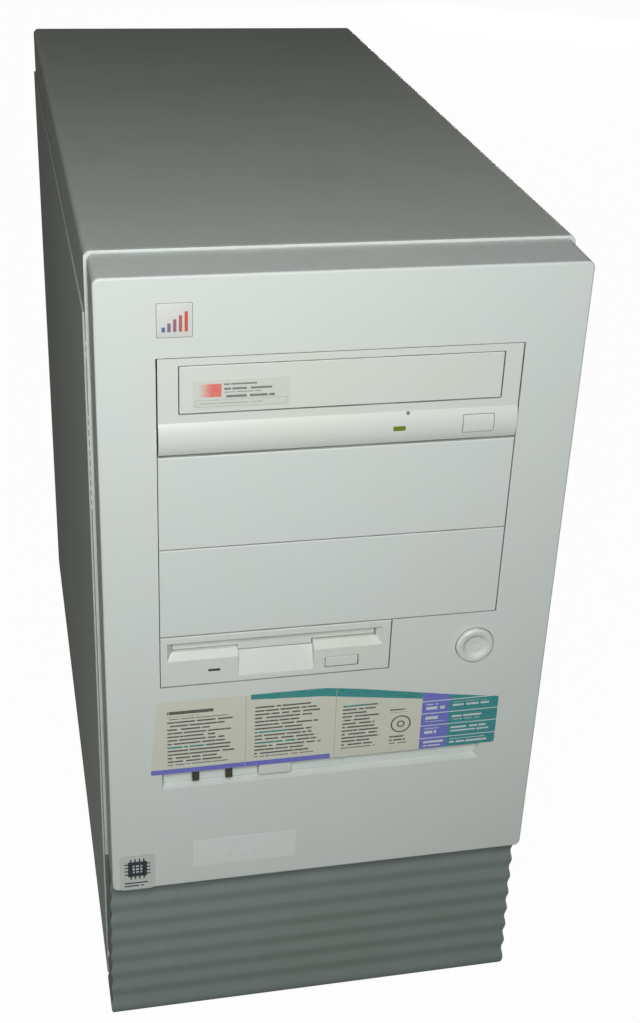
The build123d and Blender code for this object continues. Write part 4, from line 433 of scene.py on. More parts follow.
slotFinish = {
    "cover_paint": "coverPaint", "chassis_steel": "chassisZinc", "bezel_plastic": "bezelPlastic",
    "drive_plastic": "drivePlastic", "plinth_plastic": "plinthPlastic", "tray_plastic": "trayPlastic",
    "dark_lens": "smokedWindow", "cast_drive": "castAluminium", "black_plastic": "blackPlastic",
    "red_plastic": "redPlastic", "socket_plastic": "socketPlastic", "screw_steel": "nickelPlate",
    "ribbon_grey": "ribbonGrey", "wire_bundle": "wireBundle", "board_green": "mainBoard",
    "ceramic_chip": "ceramicPackage", "sink_aluminium": "sinkAluminium", "port_steel": "nickelPlate",
    "rubber": "mouldedRubber",
}
nodeFinish = {
    "power_button": "buttonPlastic", "reset_button": "buttonPlastic", "cd_eject_button": "buttonPlastic",
    "floppy_eject_button": "buttonPlastic", "cd_lamp": "greenLamp", "riser_card": "riserBoard",
    "memory_modules": "memoryBoard", "modem_card": "modemBoard", "sound_card": "soundBoard",
    "hard_drive_board": "driveBoard", "power_supply_board": "supplyBoard", "indicator_board": "lampBoard",
}


def dressNodes():
    slots = {part["node"]: part["material_slot"] for part in frame["record"]["subparts"]}
    for name, node in nodes.items():
        finish = nodeFinish.get(name) or slotFinish[slots[name]]
        node.data.materials.clear()
        node.data.materials.append(finishes[finish])


# each card's rear bracket is plated steel, and the sockets in front of it are black
brackets = {"cards": ("modem_card", "sound_card"), "plateReach": 2.6 * mm, "socketReach": 16.0 * mm}


def dressBrackets():
    for name in brackets["cards"]:
        node = nodes[name]
        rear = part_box(name)[1][1]
        for finish in ("nickelPlate", "socketPlastic"):
            node.data.materials.append(finishes[finish])
        for face in node.data.polygons:
            middle = node.matrix_world @ face.center
            if middle.y > rear - brackets["plateReach"]:
                face.material_index = 1
            elif middle.y > rear - brackets["socketReach"]:
                face.material_index = 2


dressNodes()
dressBrackets()
print("nodes dressed")


# tools for new pieces

def selectOnly(piece):
    bpy.ops.object.select_all(action="DESELECT")
    piece.select_set(True)
    bpy.context.view_layer.objects.active = piece


def nameActive(name):
    piece = bpy.context.object
    piece.name = name
    return piece


def settle(piece):
    bpy.ops.object.transform_apply(location=True, rotation=True, scale=True)
    return piece


def startBox(name, low, high):
    bpy.ops.object.select_all(action="DESELECT")
    middle = [(a + b) / 2 for a, b in zip(low, high)]
    bpy.ops.mesh.primitive_cube_add(size=1, location=middle)
    piece = nameActive(name)
    piece.scale = [b - a for a, b in zip(low, high)]
    return settle(piece)


def startRod(name, start, radius, length, sides=24):
    # stands on its start and runs along +Y
    bpy.ops.object.select_all(action="DESELECT")
    middle = Vector(start) + Vector((0, length / 2, 0))
    bpy.ops.mesh.primitive_cylinder_add(vertices=sides, radius=radius, depth=length, location=middle,
                                        rotation=(-math.pi / 2, 0, 0))
    return settle(nameActive(name))


def moveTo(piece, where, turn=0.0):
    selectOnly(piece)
    piece.location = where
    piece.rotation_euler = (turn, 0, 0)
    return settle(piece)


def editing(piece, mode):
    selectOnly(piece)
    bpy.ops.object.mode_set(mode="EDIT")
    bpy.ops.mesh.select_mode(type=mode)
    bpy.ops.mesh.select_all(action="DESELECT")
    shape = bmesh.from_edit_mesh(piece.data)
    return {"VERT": shape.verts, "EDGE": shape.edges}[mode]


def pick(parts, test):
    for part in parts:
        if test(part):
            part.select_set(True)


def doneEditing(piece):
    bmesh.update_edit_mesh(piece.data)
    bpy.ops.object.mode_set(mode="OBJECT")


def along(axis):
    index = "XYZ".index(axis)
    return lambda edge: abs((edge.verts[1].co - edge.verts[0].co).normalized()[index]) > 0.99


def bevelEdges(piece, test, width, segments):
    pick(editing(piece, "EDGE"), test)
    bpy.ops.mesh.bevel(offset=width, segments=segments, affect="EDGES")
    doneEditing(piece)


def useModifier(piece, kind, **settings):
    bpy.context.view_layer.objects.active = piece
    modifier = piece.modifiers.new(kind.lower(), kind)
    for key, value in settings.items():
        setattr(modifier, key, value)
    bpy.ops.object.modifier_apply(modifier=modifier.name)


def softenEdges(piece, width, segments=2):
    useModifier(piece, "BEVEL", width=width, segments=segments, limit_method="ANGLE",
                angle_limit=math.radians(40))
    selectOnly(piece)
    bpy.ops.object.shade_smooth_by_angle(angle=math.radians(35))


def cutWith(piece, cutter, operation="DIFFERENCE"):
    useModifier(piece, "BOOLEAN", object=cutter, operation=operation, solver="EXACT")
    bpy.data.objects.remove(cutter, do_unlink=True)


def joinPieces(pieces, name):
    selectOnly(pieces[0])
    for piece in pieces[1:]:
        piece.select_set(True)
    bpy.ops.object.join()
    return nameActive(name)


def finishPiece(piece, finish, body="case"):
    piece.data.materials.clear()
    piece.data.materials.append(finish)
    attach(piece, body)
    return piece


# printing for the labels: masks from a piece's own coordinates

def makePrintBox():
    inputs = {"Left": 0.0, "Right": 0.01, "Low": 0.0, "High": 0.01, "Slope": 0.0}
    group, given, out = newGroup("printBox", inputs, ["Mask"])
    axes = addNode(group, "ShaderNodeSeparateXYZ", {0: place(group)}).outputs
    lift = calc(group, "MULTIPLY", calc(group, "SUBTRACT", axes["X"], given["Left"]), given["Slope"])
    level = calc(group, "SUBTRACT", axes["Z"], lift)
    pastLeft = calc(group, "GREATER_THAN", axes["X"], given["Left"])
    wide = calc(group, "MULTIPLY", pastLeft, calc(group, "LESS_THAN", axes["X"], given["Right"]))
    pastLow = calc(group, "GREATER_THAN", level, given["Low"])
    tall = calc(group, "MULTIPLY", pastLow, calc(group, "LESS_THAN", level, given["High"]))
    group.links.new(calc(group, "MULTIPLY", wide, tall), out.inputs["Mask"])
    return group


def makePrintRing():
    inputs = {"X": 0.0, "Z": 0.0, "Radius": 0.003, "Width": 0.0006}
    group, given, out = newGroup("printRing", inputs, ["Mask"])
    axes = addNode(group, "ShaderNodeSeparateXYZ", {0: place(group)}).outputs
    across = calc(group, "SUBTRACT", axes["X"], given["X"])
    above = calc(group, "SUBTRACT", axes["Z"], given["Z"])
    squares = [calc(group, "MULTIPLY", side, side) for side in (across, above)]
    distance = calc(group, "SQRT", calc(group, "ADD", *squares))
    away = calc(group, "ABSOLUTE", calc(group, "SUBTRACT", distance, given["Radius"]))
    mask = calc(group, "LESS_THAN", away, calc(group, "MULTIPLY", given["Width"], 0.5))
    group.links.new(mask, out.inputs["Mask"])
    return group


def makePrintRules():
    # ruled rows of uneven length, each broken into dashes
    inputs = {"Pitch": 0.0016, "Weight": 0.35, "Left": 0.0, "Length": 0.03, "Dash Scale": 420.0,
              "Gaps": 0.41}
    group, given, out = newGroup("printRules", inputs, ["Mask"])
    axes = addNode(group, "ShaderNodeSeparateXYZ", {0: place(group)}).outputs
    rows = calc(group, "DIVIDE", axes["Z"], given["Pitch"])
    number = calc(group, "FLOOR", rows)
    inRow = calc(group, "LESS_THAN", calc(group, "FRACT", rows), given["Weight"])
    chance = addNode(group, "ShaderNodeTexWhiteNoise", {"W": number}, noise_dimensions="1D").outputs["Value"]
    share = calc(group, "ADD", 0.55, calc(group, "MULTIPLY", chance, 0.45))
    end = calc(group, "ADD", given["Left"], calc(group, "MULTIPLY", given["Length"], share))
    drawn = calc(group, "LESS_THAN", axes["X"], end)
    spread = calc(group, "MULTIPLY", axes["X"], given["Dash Scale"])
    spot = addNode(group, "ShaderNodeCombineXYZ", {"X": spread, "Y": number}).outputs[0]
    dashes = calc(group, "GREATER_THAN", noise(group, spot, 1.0, 1.0), given["Gaps"])
    mask = calc(group, "MULTIPLY", calc(group, "MULTIPLY", inRow, drawn), dashes)
    group.links.new(mask, out.inputs["Mask"])
    return group


printBox = makePrintBox()
printRing = makePrintRing()
printRules = makePrintRules()


def boxMask(tree, box, slope=0.0):
    left, right, low, high = [edge * mm for edge in box]
    return useGroup(tree, printBox, Left=left, Right=right, Low=low, High=high, Slope=slope)["Mask"]


def rulesMask(tree, box, pitch, weight):
    left, length = box[0] * mm, (box[1] - box[0]) * mm
    rows = useGroup(tree, printRules, Pitch=pitch * mm, Weight=weight, Left=left, Length=length)["Mask"]
    return calc(tree, "MULTIPLY", rows, boxMask(tree, box))


def boxLayer(box, ink, slope=0.0):
    return (lambda tree: boxMask(tree, box, slope)), ink


def rulesLayer(box, pitch, weight, ink):
    return (lambda tree: rulesMask(tree, box, pitch, weight)), ink


def ringLayer(x, z, radius, width, ink):
    sizes = {"X": x * mm, "Z": z * mm, "Radius": radius * mm, "Width": width * mm}
    return (lambda tree: useGroup(tree, printRing, **sizes)["Mask"]), ink


def shifted(box, x, z):
    left, right, low, high = box
    return left + x, right + x, low + z, high + z


def printedLabel(name, look, layers):
    # layers are laid over the ground in turn, each a mask maker and an ink
    material, tree = newMaterial(name)
    aged = useGroup(tree, agedPatches, Scale=look["patchScale"], Contrast=0.25)["Mask"]
    colour = agedGround(tree, aged, look)
    fade = stretch(tree, noise(tree, place(tree), 900.0, 2.0), 0.3, 0.7, look["inkShare"], 1.0)
    for makeMask, ink in layers:
        colour = blendColour(tree, calc(tree, "MULTIPLY", makeMask(tree), fade), colour, ink)
    # rounded edges get painted highlight with wear, seams painted shade with grime
    colour = layOver(tree, colour, edgeWearAndHighlight, look["wearAndHighlightColour"], Radius=0.2 * mm, Amount=0.5)
    colour = layOver(tree, colour, seamShadeAndGrime, look["seamShadeAndGrimeColour"], Reach=1.0 * mm, Amount=0.4)
    rough = stretch(tree, aged, 0.0, 1.0, look["roughness"], look["roughness"] + 0.12)
    ripples = noise(tree, place(tree), 70.0, 2.0)
    finishSurface(tree, colour, rough, bump(tree, ripples, 0.15, 0.3 * mm), IOR=1.5)
    return material


def thinPlate(name, plate, back):
    left, right, low, high = [value * mm for value in plate["box"]]
    piece = startBox(name, (left, back - plate["thickness"], low), (right, back, high))
    bevelEdges(piece, along("Y"), plate["corner"], 5)
    if "rim" in plate:
        softenEdges(piece, plate["rim"])
    return piece


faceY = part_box("front_bezel")[0][1]
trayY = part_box("cd_tray_front")[0][1]
# the seam colour is painted shade with grime; the edge colour is painted highlight with wear
labelLook = {
    "colour": srgb(208, 211, 197), "agedColour": srgb(200, 201, 182), "aging": 0.5, "patchScale": 40.0,
    "inkShare": 0.9, "wearAndHighlightColour": srgb(226, 226, 216), "seamShadeAndGrimeColour": srgb(92, 88, 70), "roughness": 0.34,
}


# badge in its square recess

badge = {
    "box": (-75.3, -61.6, 362.9, 376.6), "recess": 0.5 * mm, "thickness": 0.62 * mm, "corner": 0.5 * mm,
    "rim": 0.12 * mm, "bars": 5, "firstBar": 1.9, "pitch": 2.2, "barWidth": 1.3, "foot": 2.2, "top": 4.2,
    "growth": 1.55, "firstInk": srgb(84, 116, 150), "lastInk": srgb(206, 92, 74),
}
badgeLook = dict(labelLook, colour=srgb(214, 217, 214), agedColour=srgb(206, 208, 200), roughness=0.22,
                 inkShare=0.95)


def makeBadge():
    left, low = badge["box"][0], badge["box"][2]
    layers = []
    for index in range(badge["bars"]):
        x, share = badge["firstBar"] + index * badge["pitch"], index / (badge["bars"] - 1)
        bar = (x, x + badge["barWidth"], badge["foot"], badge["top"] + index * badge["growth"])
        ink = [a + (b - a) * share for a, b in zip(badge["firstInk"], badge["lastInk"])]
        layers.append(boxLayer(shifted(bar, left, low), ink))
    piece = thinPlate("badgePlate", badge, faceY + badge["recess"])
    finishPiece(piece, printedLabel("badgePrint", badgeLook, layers))


# label of the disc drive, on its tray

discLabel = {
    "box": (-61.6, -22.9, 331.9, 344.3), "thickness": 0.12 * mm, "corner": 0.8 * mm,
    "square": (2.6, 11.4, 5.2, 10.8), "fade": (-1.0, 5.5), "outline": (1.0, 37.7, 1.0, 4.0),
    "lineWidth": 0.22, "title": (12.4, 33.7, 8.0, 10.8), "titleRows": (3.0, 0.62),
    "caption": (12.4, 35.7, 4.6, 7.2), "captionRows": (2.2, 0.5), "detail": (2.4, 36.7, 1.8, 3.4),
    "detailRows": (1.3, 0.4), "red": srgb(222, 112, 100), "grey": srgb(120, 124, 122),
    "pale": srgb(172, 176, 172),
}
discLabelLook = dict(labelLook, colour=srgb(206, 210, 202), agedColour=srgb(204, 206, 194), inkShare=0.85)


def makeDiscLabel():
    look = discLabel

    def onLabel(part):
        return shifted(look[part], look["box"][0], look["box"][2])

    def fadingSquare(tree):
        square = onLabel("square")
        axes = addNode(tree, "ShaderNodeSeparateXYZ", {0: place(tree)}).outputs
        fade = stretch(tree, axes["X"], *[(square[0] + step) * mm for step in look["fade"]])
        return calc(tree, "MULTIPLY", boxMask(tree, square), fade)

    def thinOutline(tree):
        left, right, low, high = onLabel("outline")
        line = look["lineWidth"]
        inside = boxMask(tree, (left + line, right - line, low + line, high - line))
        return calc(tree, "SUBTRACT", boxMask(tree, (left, right, low, high)), inside)

    layers = [
        (fadingSquare, look["red"]),
        (thinOutline, look["pale"]),
        rulesLayer(onLabel("title"), *look["titleRows"], look["grey"]),
        rulesLayer(onLabel("caption"), *look["captionRows"], look["grey"]),
        rulesLayer(onLabel("detail"), *look["detailRows"], look["pale"]),
    ]
    piece = thinPlate("discDriveLabel", discLabel, trayY)
    finishPiece(piece, printedLabel("discLabelPrint", discLabelLook, layers), "cd_tray")


# large sticker over the groove

sticker = {
    "left": -77.3, "right": 79.3, "lean": 3.3, "low": 153.7, "high": 192.9, "rightHigh": 179.6,
    "bend": -4.0, "fallPower": 1.35, "fallStart": 1.5, "fallEase": 0.5, "thickness": 0.16 * mm,
    "corner": 0.9 * mm, "steps": 28,
}
stickerPrint = {
    "teal": srgb(38, 138, 138), "violet": srgb(104, 110, 196), "ink": srgb(84, 86, 84),
    "pale": srgb(206, 214, 216), "crease": srgb(176, 175, 158),
    "stripe": (-81.0, 1.0, -0.2, 2.6), "tealBlock": (56.0, 81.0, -2.0, 36.0),
    "violetBlock": (43.0, 56.0, -2.0, 36.0), "fold": (0.0, 0.3, 0.0, 39.0), "foldPlaces": (-38.2, 2.6),
    "swoosh": (((-36.0, -4.0, 36.6, 44.0), -0.05), ((-4.0, 43.0, 35.0, 44.0), -0.14)),
    "titles": ((-73.0, -52.0, 31.0, 34.0), (28.0, 38.0, 22.0, 24.0)), "titleRows": (3.0, 0.62),
    "columns": ((-73.0, -41.0, 4.6, 30.0), (-34.0, -1.5, 4.6, 33.2), (6.0, 25.0, 4.6, 29.0),
                (28.5, 38.5, 4.6, 9.0)),
    "tealLines": ((-73.0, -52.0, 13.2, 15.3), (-34.0, -14.0, 17.1, 19.2), (-34.0, -14.0, 11.3, 13.3),
                  (6.0, 20.0, 26.8, 28.8)),
    "textRows": (1.95, 0.42), "blockRises": (-1.0, 6.2, 13.0, 19.8), "bold": (45.0, 55.0, 2.0, 5.2),
    "boldRows": (2.7, 0.6), "fine": (57.5, 76.0, 2.0, 5.2), "fineRows": (2.1, 0.5),
    "divider": (43.0, 81.0, 6.5, 7.0), "rings": (4.4, 1.5), "ringPlace": (33.5, 15.5), "ringWidth": 0.7,
}


def stickerTop(x):
    # level up to the bend, then falling in a curve
    past = max(0.0, (x - sticker["bend"]) / (sticker["right"] - sticker["bend"]))
    curve = past ** sticker["fallPower"] * (sticker["fallStart"] - sticker["fallEase"] * past)
    return sticker["high"] - (sticker["high"] - sticker["rightHigh"]) * curve


def stickerLayers():
    look, base = stickerPrint, sticker["low"]

    def onSticker(box, rise=0.0):
        return shifted(box, 0.0, base + rise)

    layers = [boxLayer(onSticker(look["stripe"]), look["violet"]),
              boxLayer(onSticker(look["tealBlock"]), look["teal"]),
              boxLayer(onSticker(look["violetBlock"]), look["violet"])]
    layers += [boxLayer(onSticker(box), look["teal"], slope) for box, slope in look["swoosh"]]
    layers += [boxLayer(shifted(look["fold"], x, base), look["crease"]) for x in look["foldPlaces"]]
    layers += [rulesLayer(onSticker(box), *look["titleRows"], look["ink"]) for box in look["titles"]]
    layers += [rulesLayer(onSticker(box), *look["textRows"], look["ink"]) for box in look["columns"]]
    layers += [rulesLayer(onSticker(box), *look["textRows"], look["teal"]) for box in look["tealLines"]]
    for rise in look["blockRises"]:
        layers += [rulesLayer(onSticker(look["bold"], rise), *look["boldRows"], look["pale"]),
                   rulesLayer(onSticker(look["fine"], rise), *look["fineRows"], look["pale"]),
                   boxLayer(onSticker(look["divider"], rise), look["pale"])]
    x, rise = look["ringPlace"]
    layers += [ringLayer(x, base + rise, radius, look["ringWidth"], look["ink"]) for radius in look["rings"]]
    return layers


def makeSticker():
    left, right, low, high = sticker["left"], sticker["right"], sticker["low"], sticker["high"]
    nearCorner = (left * mm, faceY - sticker["thickness"], low * mm)
    piece = startBox("specSticker", nearCorner, (right * mm, faceY, high * mm))
    pick(editing(piece, "EDGE"), along("X"))
    bpy.ops.mesh.subdivide(number_cuts=sticker["steps"])
    doneEditing(piece)
    for vertex in editing(piece, "VERT"):
        x = vertex.co.x / mm
        share = (vertex.co.z / mm - low) / (high - low)
        vertex.co.z = (low + (stickerTop(x) - low) * share) * mm
        if x < left + 0.1:
            vertex.co.x -= sticker["lean"] * (1 - share) * mm
    doneEditing(piece)
    ends = (left, left - sticker["lean"], right)

    def isCorner(edge):
        x = edge.verts[0].co.x / mm
        return along("Y")(edge) and min(abs(x - end) for end in ends) < 0.2

    bevelEdges(piece, isCorner, sticker["corner"], 4)
    finishPiece(piece, printedLabel("stickerPrint", labelLook, stickerLayers()))


# bare plate low on the face

modelPlate = {"box": (-61.7, -13.3, 98.0, 113.3), "thickness": 0.14 * mm, "corner": 0.7 * mm}
# the plate's pale edge colour is painted highlight along its rim, with wear
modelPlateLook = dict(labelLook, colour=srgb(219, 225, 222), agedColour=srgb(216, 222, 218), aging=0.3,
                      roughness=0.26, wearAndHighlightColour=srgb(230, 235, 232))


def makeModelPlate():
    piece = thinPlate("modelPlate", modelPlate, faceY)
    finishPiece(piece, printedLabel("modelPlatePrint", modelPlateLook, []))


# small round-cornered sticker with a plain chip figure, at the face's lower left corner

cornerSticker = {
    "box": (-95.6, -79.4, 88.2, 108.8), "thickness": 0.14 * mm, "corner": 2.0 * mm,
    "ink": srgb(34, 52, 56), "chip": (-4.4, 4.4, -4.4, 4.4), "core": (-2.2, 2.2, -2.2, 2.2),
    "chipPlace": (8.1, 12.2), "uprightLeg": (-0.35, 0.35, -6.0, 6.0), "levelLeg": (-6.0, 6.0, -0.35, 0.35),
    "legSteps": (-3.0, -1.0, 1.0, 3.0), "text": (2.0, 14.2, 1.6, 5.0), "textRows": (1.7, 0.45),
}
cornerLook = dict(labelLook, colour=srgb(200, 206, 202), agedColour=srgb(190, 194, 184), roughness=0.25)


def makeCornerSticker():
    look, ink = cornerSticker, cornerSticker["ink"]
    left, low = look["box"][0], look["box"][2]
    x, z = left + look["chipPlace"][0], low + look["chipPlace"][1]
    layers = [boxLayer(shifted(look["chip"], x, z), ink),
              boxLayer(shifted(look["core"], x, z), cornerLook["colour"]),
              rulesLayer(shifted(look["text"], left, low), *look["textRows"], ink)]
    for step in look["legSteps"]:
        layers += [boxLayer(shifted(look["uprightLeg"], x + step, z), ink),
                   boxLayer(shifted(look["levelLeg"], x, z + step), ink)]
    piece = thinPlate("cornerSticker", cornerSticker, faceY)
    finishPiece(piece, printedLabel("cornerPrint", cornerLook, layers))


makeBadge()
makeDiscLabel()
makeSticker()
makeModelPlate()
makeCornerSticker()
print("labels and plates made")


# cross-recessed and knurled screws

screws = {
    "headRadius": 3.0 * mm, "headHeight": 2.1 * mm, "domeShare": 0.7, "headEdge": 0.08 * mm,
    "shankRadius": 1.4 * mm, "crossWidth": 0.9 * mm, "crossReach": 1.9 * mm, "crossDepth": 1.1 * mm,
    "supplyInset": 4.0 * mm, "supplyShank": 4.0 * mm, "tabInset": 6.5 * mm, "tabThickness": 0.9 * mm,
    "tabShank": 1.9 * mm, "thumbRadius": 4.6 * mm, "thumbHeight": 5.0 * mm, "thumbShank": 4.0 * mm,
    "thumbEdge": 0.15 * mm, "knurls": 30, "knurlShare": 0.93, "thumbReach": 2.6 * mm,
    "thumbDepth": 1.6 * mm,
}


def crossRecess(height, reach, depth):
    width, low, high = screws["crossWidth"] / 2, height - depth, height + depth
    level = startBox("crossLevel", (-reach, low, -width), (reach, high, width))
    cutWith(level, startBox("crossUpright", (-width, low, -reach), (width, high, reach)), "UNION")
    return level


def makeScrewHead(radius, height, shank, sides):
    # the head stands along +Y from its seat at zero, and the shank runs the other way
    head = startRod("screwHead", (0, 0, 0), radius, height, sides)
    cutWith(head, startRod("shank", (0, -shank, 0), screws["shankRadius"], shank + height / 2), "UNION")
    return head


def makePanScrew(shank):
    height = screws["headHeight"]
    head = makeScrewHead(screws["headRadius"], height, shank, 32)
    crown = height - 0.01 * mm
    bevelEdges(head, lambda edge: min(corner.co.y for corner in edge.verts) > crown,
               height * screws["domeShare"], 4)
    cutWith(head, crossRecess(height, screws["crossReach"], screws["crossDepth"]))
    softenEdges(head, screws["headEdge"], 1)
    return head


def makeThumbscrew():
    height, knurls, share = screws["thumbHeight"], screws["knurls"], screws["knurlShare"]
    head = makeScrewHead(screws["thumbRadius"], height, screws["thumbShank"], 2 * knurls)

    def isValley(edge):
        middle = (edge.verts[0].co + edge.verts[1].co) / 2
        outside = math.hypot(middle.x, middle.z) > screws["thumbRadius"] * 0.9
        halfTurns = math.atan2(middle.z, middle.x) / math.pi
        return outside and along("Y")(edge) and round(halfTurns * knurls) % 2

    pick(editing(head, "EDGE"), isValley)
    bpy.ops.transform.resize(value=(share, 1, share), center_override=(0, 0, 0))
    doneEditing(head)
    cutWith(head, crossRecess(height, screws["thumbReach"], screws["thumbDepth"]))
    softenEdges(head, screws["thumbEdge"], 1)
    return head


def makeCaseScrews():
    # four through the rear panel into the power supply, and one down into each slot bracket's tab
    low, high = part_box("power_supply_case")
    seat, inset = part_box("rear_panel")[1][1], screws["supplyInset"]
    heads = [moveTo(makePanScrew(screws["supplyShank"]), (x, seat, z))
             for x in (low[0] + inset, high[0] - inset) for z in (low[2] + inset, high[2] - inset)]
    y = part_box("slot_cover")[1][1] - screws["tabInset"]
    for bracket in ("slot_cover", "sound_card", "modem_card"):
        low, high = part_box(bracket)
        where = ((low[0] + high[0]) / 2, y, high[2] - screws["tabThickness"])
        heads.append(moveTo(makePanScrew(screws["tabShank"]), where, -math.pi / 2))
    piece = finishPiece(joinPieces(heads, "caseScrews"), finishes["nickelPlate"])
    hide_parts("case_screws")


def makePanelScrews():
    low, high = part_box("panel_screws")
    x, seat, radius = (low[0] + high[0]) / 2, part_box("left_side_panel")[1][1], screws["thumbRadius"]
    thumbs = [moveTo(makeThumbscrew(), (x, seat, z)) for z in (low[2] + radius, high[2] - radius)]
    piece = finishPiece(joinPieces(thumbs, "panelThumbscrews"), finishes["nickelPlate"], "side_panel")
    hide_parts("panel_screws")


makeCaseScrews()
makePanelScrews()


# inserts of the rear connectors

portPlaces = {
    "fromFace": 6.5,
    "fromTop": {"keyboard": 12.0, "mouse": 30.0, "serial": 61.3, "parallel": 106.1, "display": 150.9},
}
roundInsert = {
    "radius": 4.55 * mm, "sunk": 2.0 * mm, "depth": 2.6 * mm, "floor": 0.4 * mm, "edge": 0.12 * mm,
    "keyHalf": 0.9 * mm, "keyBelow": (2.9 * mm, 1.7 * mm), "keyEnd": 9.0 * mm, "holeRadius": 0.55 * mm,
    "holeCircle": 2.9 * mm, "holeLength": 6.0 * mm, "holeAngles": (20, 75, 105, 160, 215, 325),
}
shellInsert = {
    "width": 7.4 * mm, "corner": 1.2 * mm, "edge": 0.12 * mm, "rodRadius": 0.55 * mm,
    "rodLength": 4.6 * mm, "pinEdge": 0.15 * mm,
}
shellPorts = {
    "serial": {"length": 16.2 * mm, "depth": 0.8 * mm, "rodShare": 0.5, "rows": (5, 4), "pitch": 2.76,
               "rowPitch": 2.84, "stagger": 0.0, "pins": True},
    "parallel": {"length": 36.6 * mm, "depth": 4.2 * mm, "rodShare": 0.3, "rows": (13, 12), "pitch": 2.76,
                 "rowPitch": 2.84, "stagger": 0.0, "pins": False},
    "display": {"length": 16.2 * mm, "depth": 4.2 * mm, "rodShare": 0.3, "rows": (5, 5, 5), "pitch": 2.29,
                "rowPitch": 1.98, "stagger": 0.25, "pins": False},
}
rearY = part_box("left_side_panel")[1][1]


def portPlace(name):
    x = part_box("rear_ports")[1][0] - portPlaces["fromFace"] * mm
    return x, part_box("motherboard")[1][2] - portPlaces["fromTop"][name] * mm


def pinPlaces(name):
    x, z = portPlace(name)
    port = shellPorts[name]
    rows, pitch = port["rows"], port["pitch"]
    places = []
    for index, count in enumerate(rows):
        across = x + (index - (len(rows) - 1) / 2) * port["rowPitch"] * mm
        shift = port["stagger"] * pitch * (1 if index % 2 else -1)
        for step in range(count):
            places.append((across, z + ((step - (count - 1) / 2) * pitch + shift) * mm))
    return places


def makeShellInsert(name):
    x, z = portPlace(name)
    port, look = shellPorts[name], shellInsert
    half, width, depth = port["length"] / 2, look["width"] / 2, port["depth"]
    piece = startBox(name + "Insert", (x - width, rearY, z - half), (x + width, rearY + depth, z + half))
    bevelEdges(piece, along("Y"), look["corner"], 3)
    start = rearY + depth * port["rodShare"]
    rods = [startRod("rod", (px, start, pz), look["rodRadius"], look["rodLength"], 10)
            for px, pz in pinPlaces(name)]
    if port["pins"]:
        pins = joinPieces(rods, name + "Pins")
        softenEdges(pins, look["pinEdge"])
        finishPiece(pins, finishes["nickelPlate"])
    else:
        cutWith(piece, joinPieces(rods, "holes"))
    softenEdges(piece, look["edge"], 1)
    finishPiece(piece, finishes["socketPlastic"])


def makeRoundInsert(name):
    x, z = portPlace(name)
    look, back = roundInsert, rearY - roundInsert["sunk"]
    piece = startRod(name + "Insert", (x, back, z), look["radius"], look["depth"], 32)
    start, half = back + look["floor"], look["keyHalf"]
    low, high = [z - below for below in look["keyBelow"]]
    cutters = [startBox("key", (x - half, start, low), (x + half, back + look["keyEnd"], high))]
    for angle in look["holeAngles"]:
        turn, reach = math.radians(angle), look["holeCircle"]
        spot = (x + reach * math.cos(turn), start, z + reach * math.sin(turn))
        cutters.append(startRod("hole", spot, look["holeRadius"], look["holeLength"], 10))
    cutWith(piece, joinPieces(cutters, "holes"))
    softenEdges(piece, look["edge"], 1)
    finishPiece(piece, finishes["socketPlastic"])


for port in ("keyboard", "mouse"):
    makeRoundInsert(port)
for port in shellPorts:
    makeShellInsert(port)
print("screws and connector inserts made")


# camera, lamps and floor

view = {
    "place": (-0.1342, -0.7590, 0.5847), "sideTurn": -0.2138, "tilt": 0.5036, "roll": -0.0144,
    "focus": 1518.5, "frameHeight": 1023, "sensorHeight": 36.0,
}


def turnFrom(rx, ry, rz):
    axis = Vector((rx, ry, rz))
    return Matrix.Rotation(axis.length, 3, axis.normalized())


def makeCamera():
    camera = bpy.data.objects.new("camera", bpy.data.cameras.new("camera"))
    bpy.context.scene.collection.objects.link(camera)
    camera.data.sensor_fit = "VERTICAL"
    camera.data.sensor_height = view["sensorHeight"]
    camera.data.lens = view["sensorHeight"] * view["focus"] / view["frameHeight"]
    camera.data.clip_start = 10.0 * mm
    # right, down and ahead of a level view along +Y
    level = Matrix(((1, 0, 0), (0, 0, -1), (0, 1, 0)))
    axes = turnFrom(view["tilt"], view["sideTurn"], view["roll"]) @ level
    right, down, ahead = axes
    turn = Matrix((right, -down, -ahead)).transposed()
    camera.matrix_world = Matrix.Translation(Vector(view["place"])) @ turn.to_4x4()
    bpy.context.scene.camera = camera


lamps = {
    "key": {"place": (-0.15, -0.76, 0.65), "aim": (0.0, -0.15, 0.22), "size": 0.26, "watts": 4.5},
    "backFill": {"place": (1.0, 2.3, 0.2), "aim": (0.0, 0.1, 0.2), "size": 0.5, "watts": 12.0},
    "rightFill": {"place": (2.0, 0.5, 0.2), "aim": (0.0, 0.0, 0.2), "size": 0.5, "watts": 3.5},
    "leftFill": {"place": (-1.5, 0.7, 0.2), "aim": (0.0, 0.0, 0.2), "size": 0.5, "watts": 1.2},
}


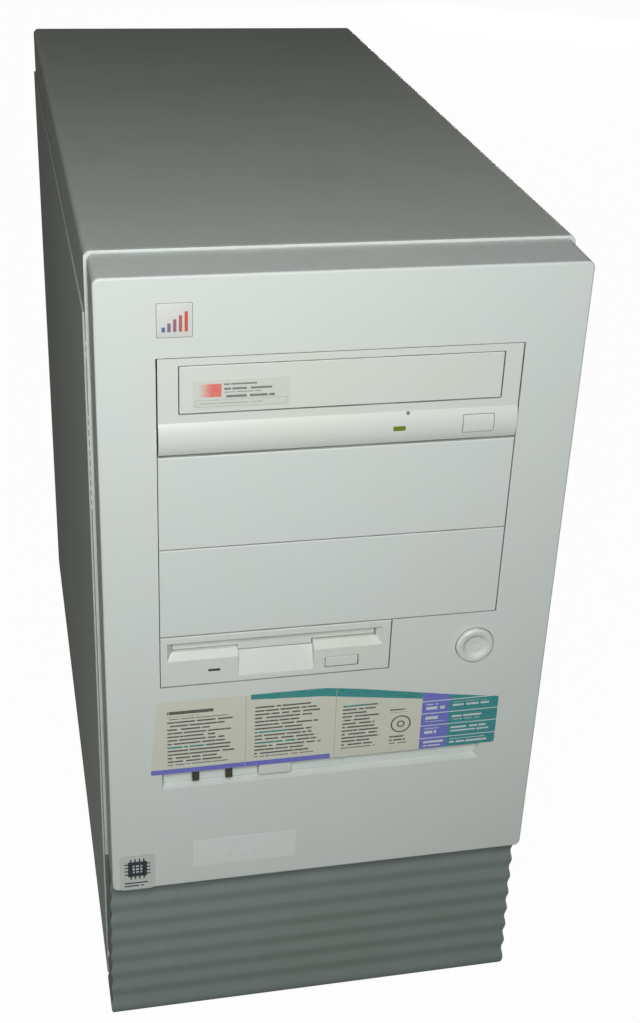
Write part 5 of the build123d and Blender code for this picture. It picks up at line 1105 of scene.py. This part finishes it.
def makeLamps():
    for name, lamp in lamps.items():
        light = bpy.data.lights.new(name, "AREA")
        light.size = lamp["size"]
        light.energy = lamp["watts"]
        holder = bpy.data.objects.new(name, light)
        holder.visible_camera = False
        bpy.context.scene.collection.objects.link(holder)
        aim = Vector(lamp["aim"]) - Vector(lamp["place"])
        holder.location = lamp["place"]
        holder.rotation_euler = aim.to_track_quat("-Z", "Y").to_euler()


backdrop = {"ambient": 0.04, "floorSize": 16.0, "floorColour": (0.36, 0.36, 0.35, 1), "whiteShare": 0.98}


def seenDirectly(tree):
    path = addNode(tree, "ShaderNodeLightPath").outputs
    return calc(tree, "MAXIMUM", path["Is Camera Ray"], path["Is Transmission Ray"])


def makeSky():
    world = bpy.data.worlds.new("sky")
    bpy.context.scene.world = world
    world.use_nodes = True
    tree = world.node_tree
    tree.nodes.clear()
    dim = addNode(tree, "ShaderNodeBackground", {"Color": (1, 1, 1, 1), "Strength": backdrop["ambient"]})
    white = addNode(tree, "ShaderNodeBackground", {"Color": (1, 1, 1, 1), "Strength": 1.0})
    shaders = {0: seenDirectly(tree), 1: dim.outputs[0], 2: white.outputs[0]}
    mix = addNode(tree, "ShaderNodeMixShader", shaders)
    addNode(tree, "ShaderNodeOutputWorld", {"Surface": mix.outputs[0]})


def makeFloor():
    bpy.ops.object.select_all(action="DESELECT")
    bpy.ops.mesh.primitive_plane_add(size=backdrop["floorSize"], location=(0, 0, 0))
    floor = nameActive("floor")
    material, tree = newMaterial("paleFloor")
    lit = addNode(tree, "ShaderNodeBsdfDiffuse", {"Color": backdrop["floorColour"]})
    white = addNode(tree, "ShaderNodeEmission", {"Color": (1, 1, 1, 1), "Strength": 1.0})
    share = calc(tree, "MULTIPLY", seenDirectly(tree), backdrop["whiteShare"])
    mix = addNode(tree, "ShaderNodeMixShader", {0: share, 1: lit.outputs[0], 2: white.outputs[0]})
    addNode(tree, "ShaderNodeOutputMaterial", {"Surface": mix.outputs[0]})
    floor.data.materials.append(material)


makeCamera()
makeLamps()
makeSky()
makeFloor()
bpy.context.scene.view_settings.view_transform = "Standard"
print("camera, lamps and floor set")
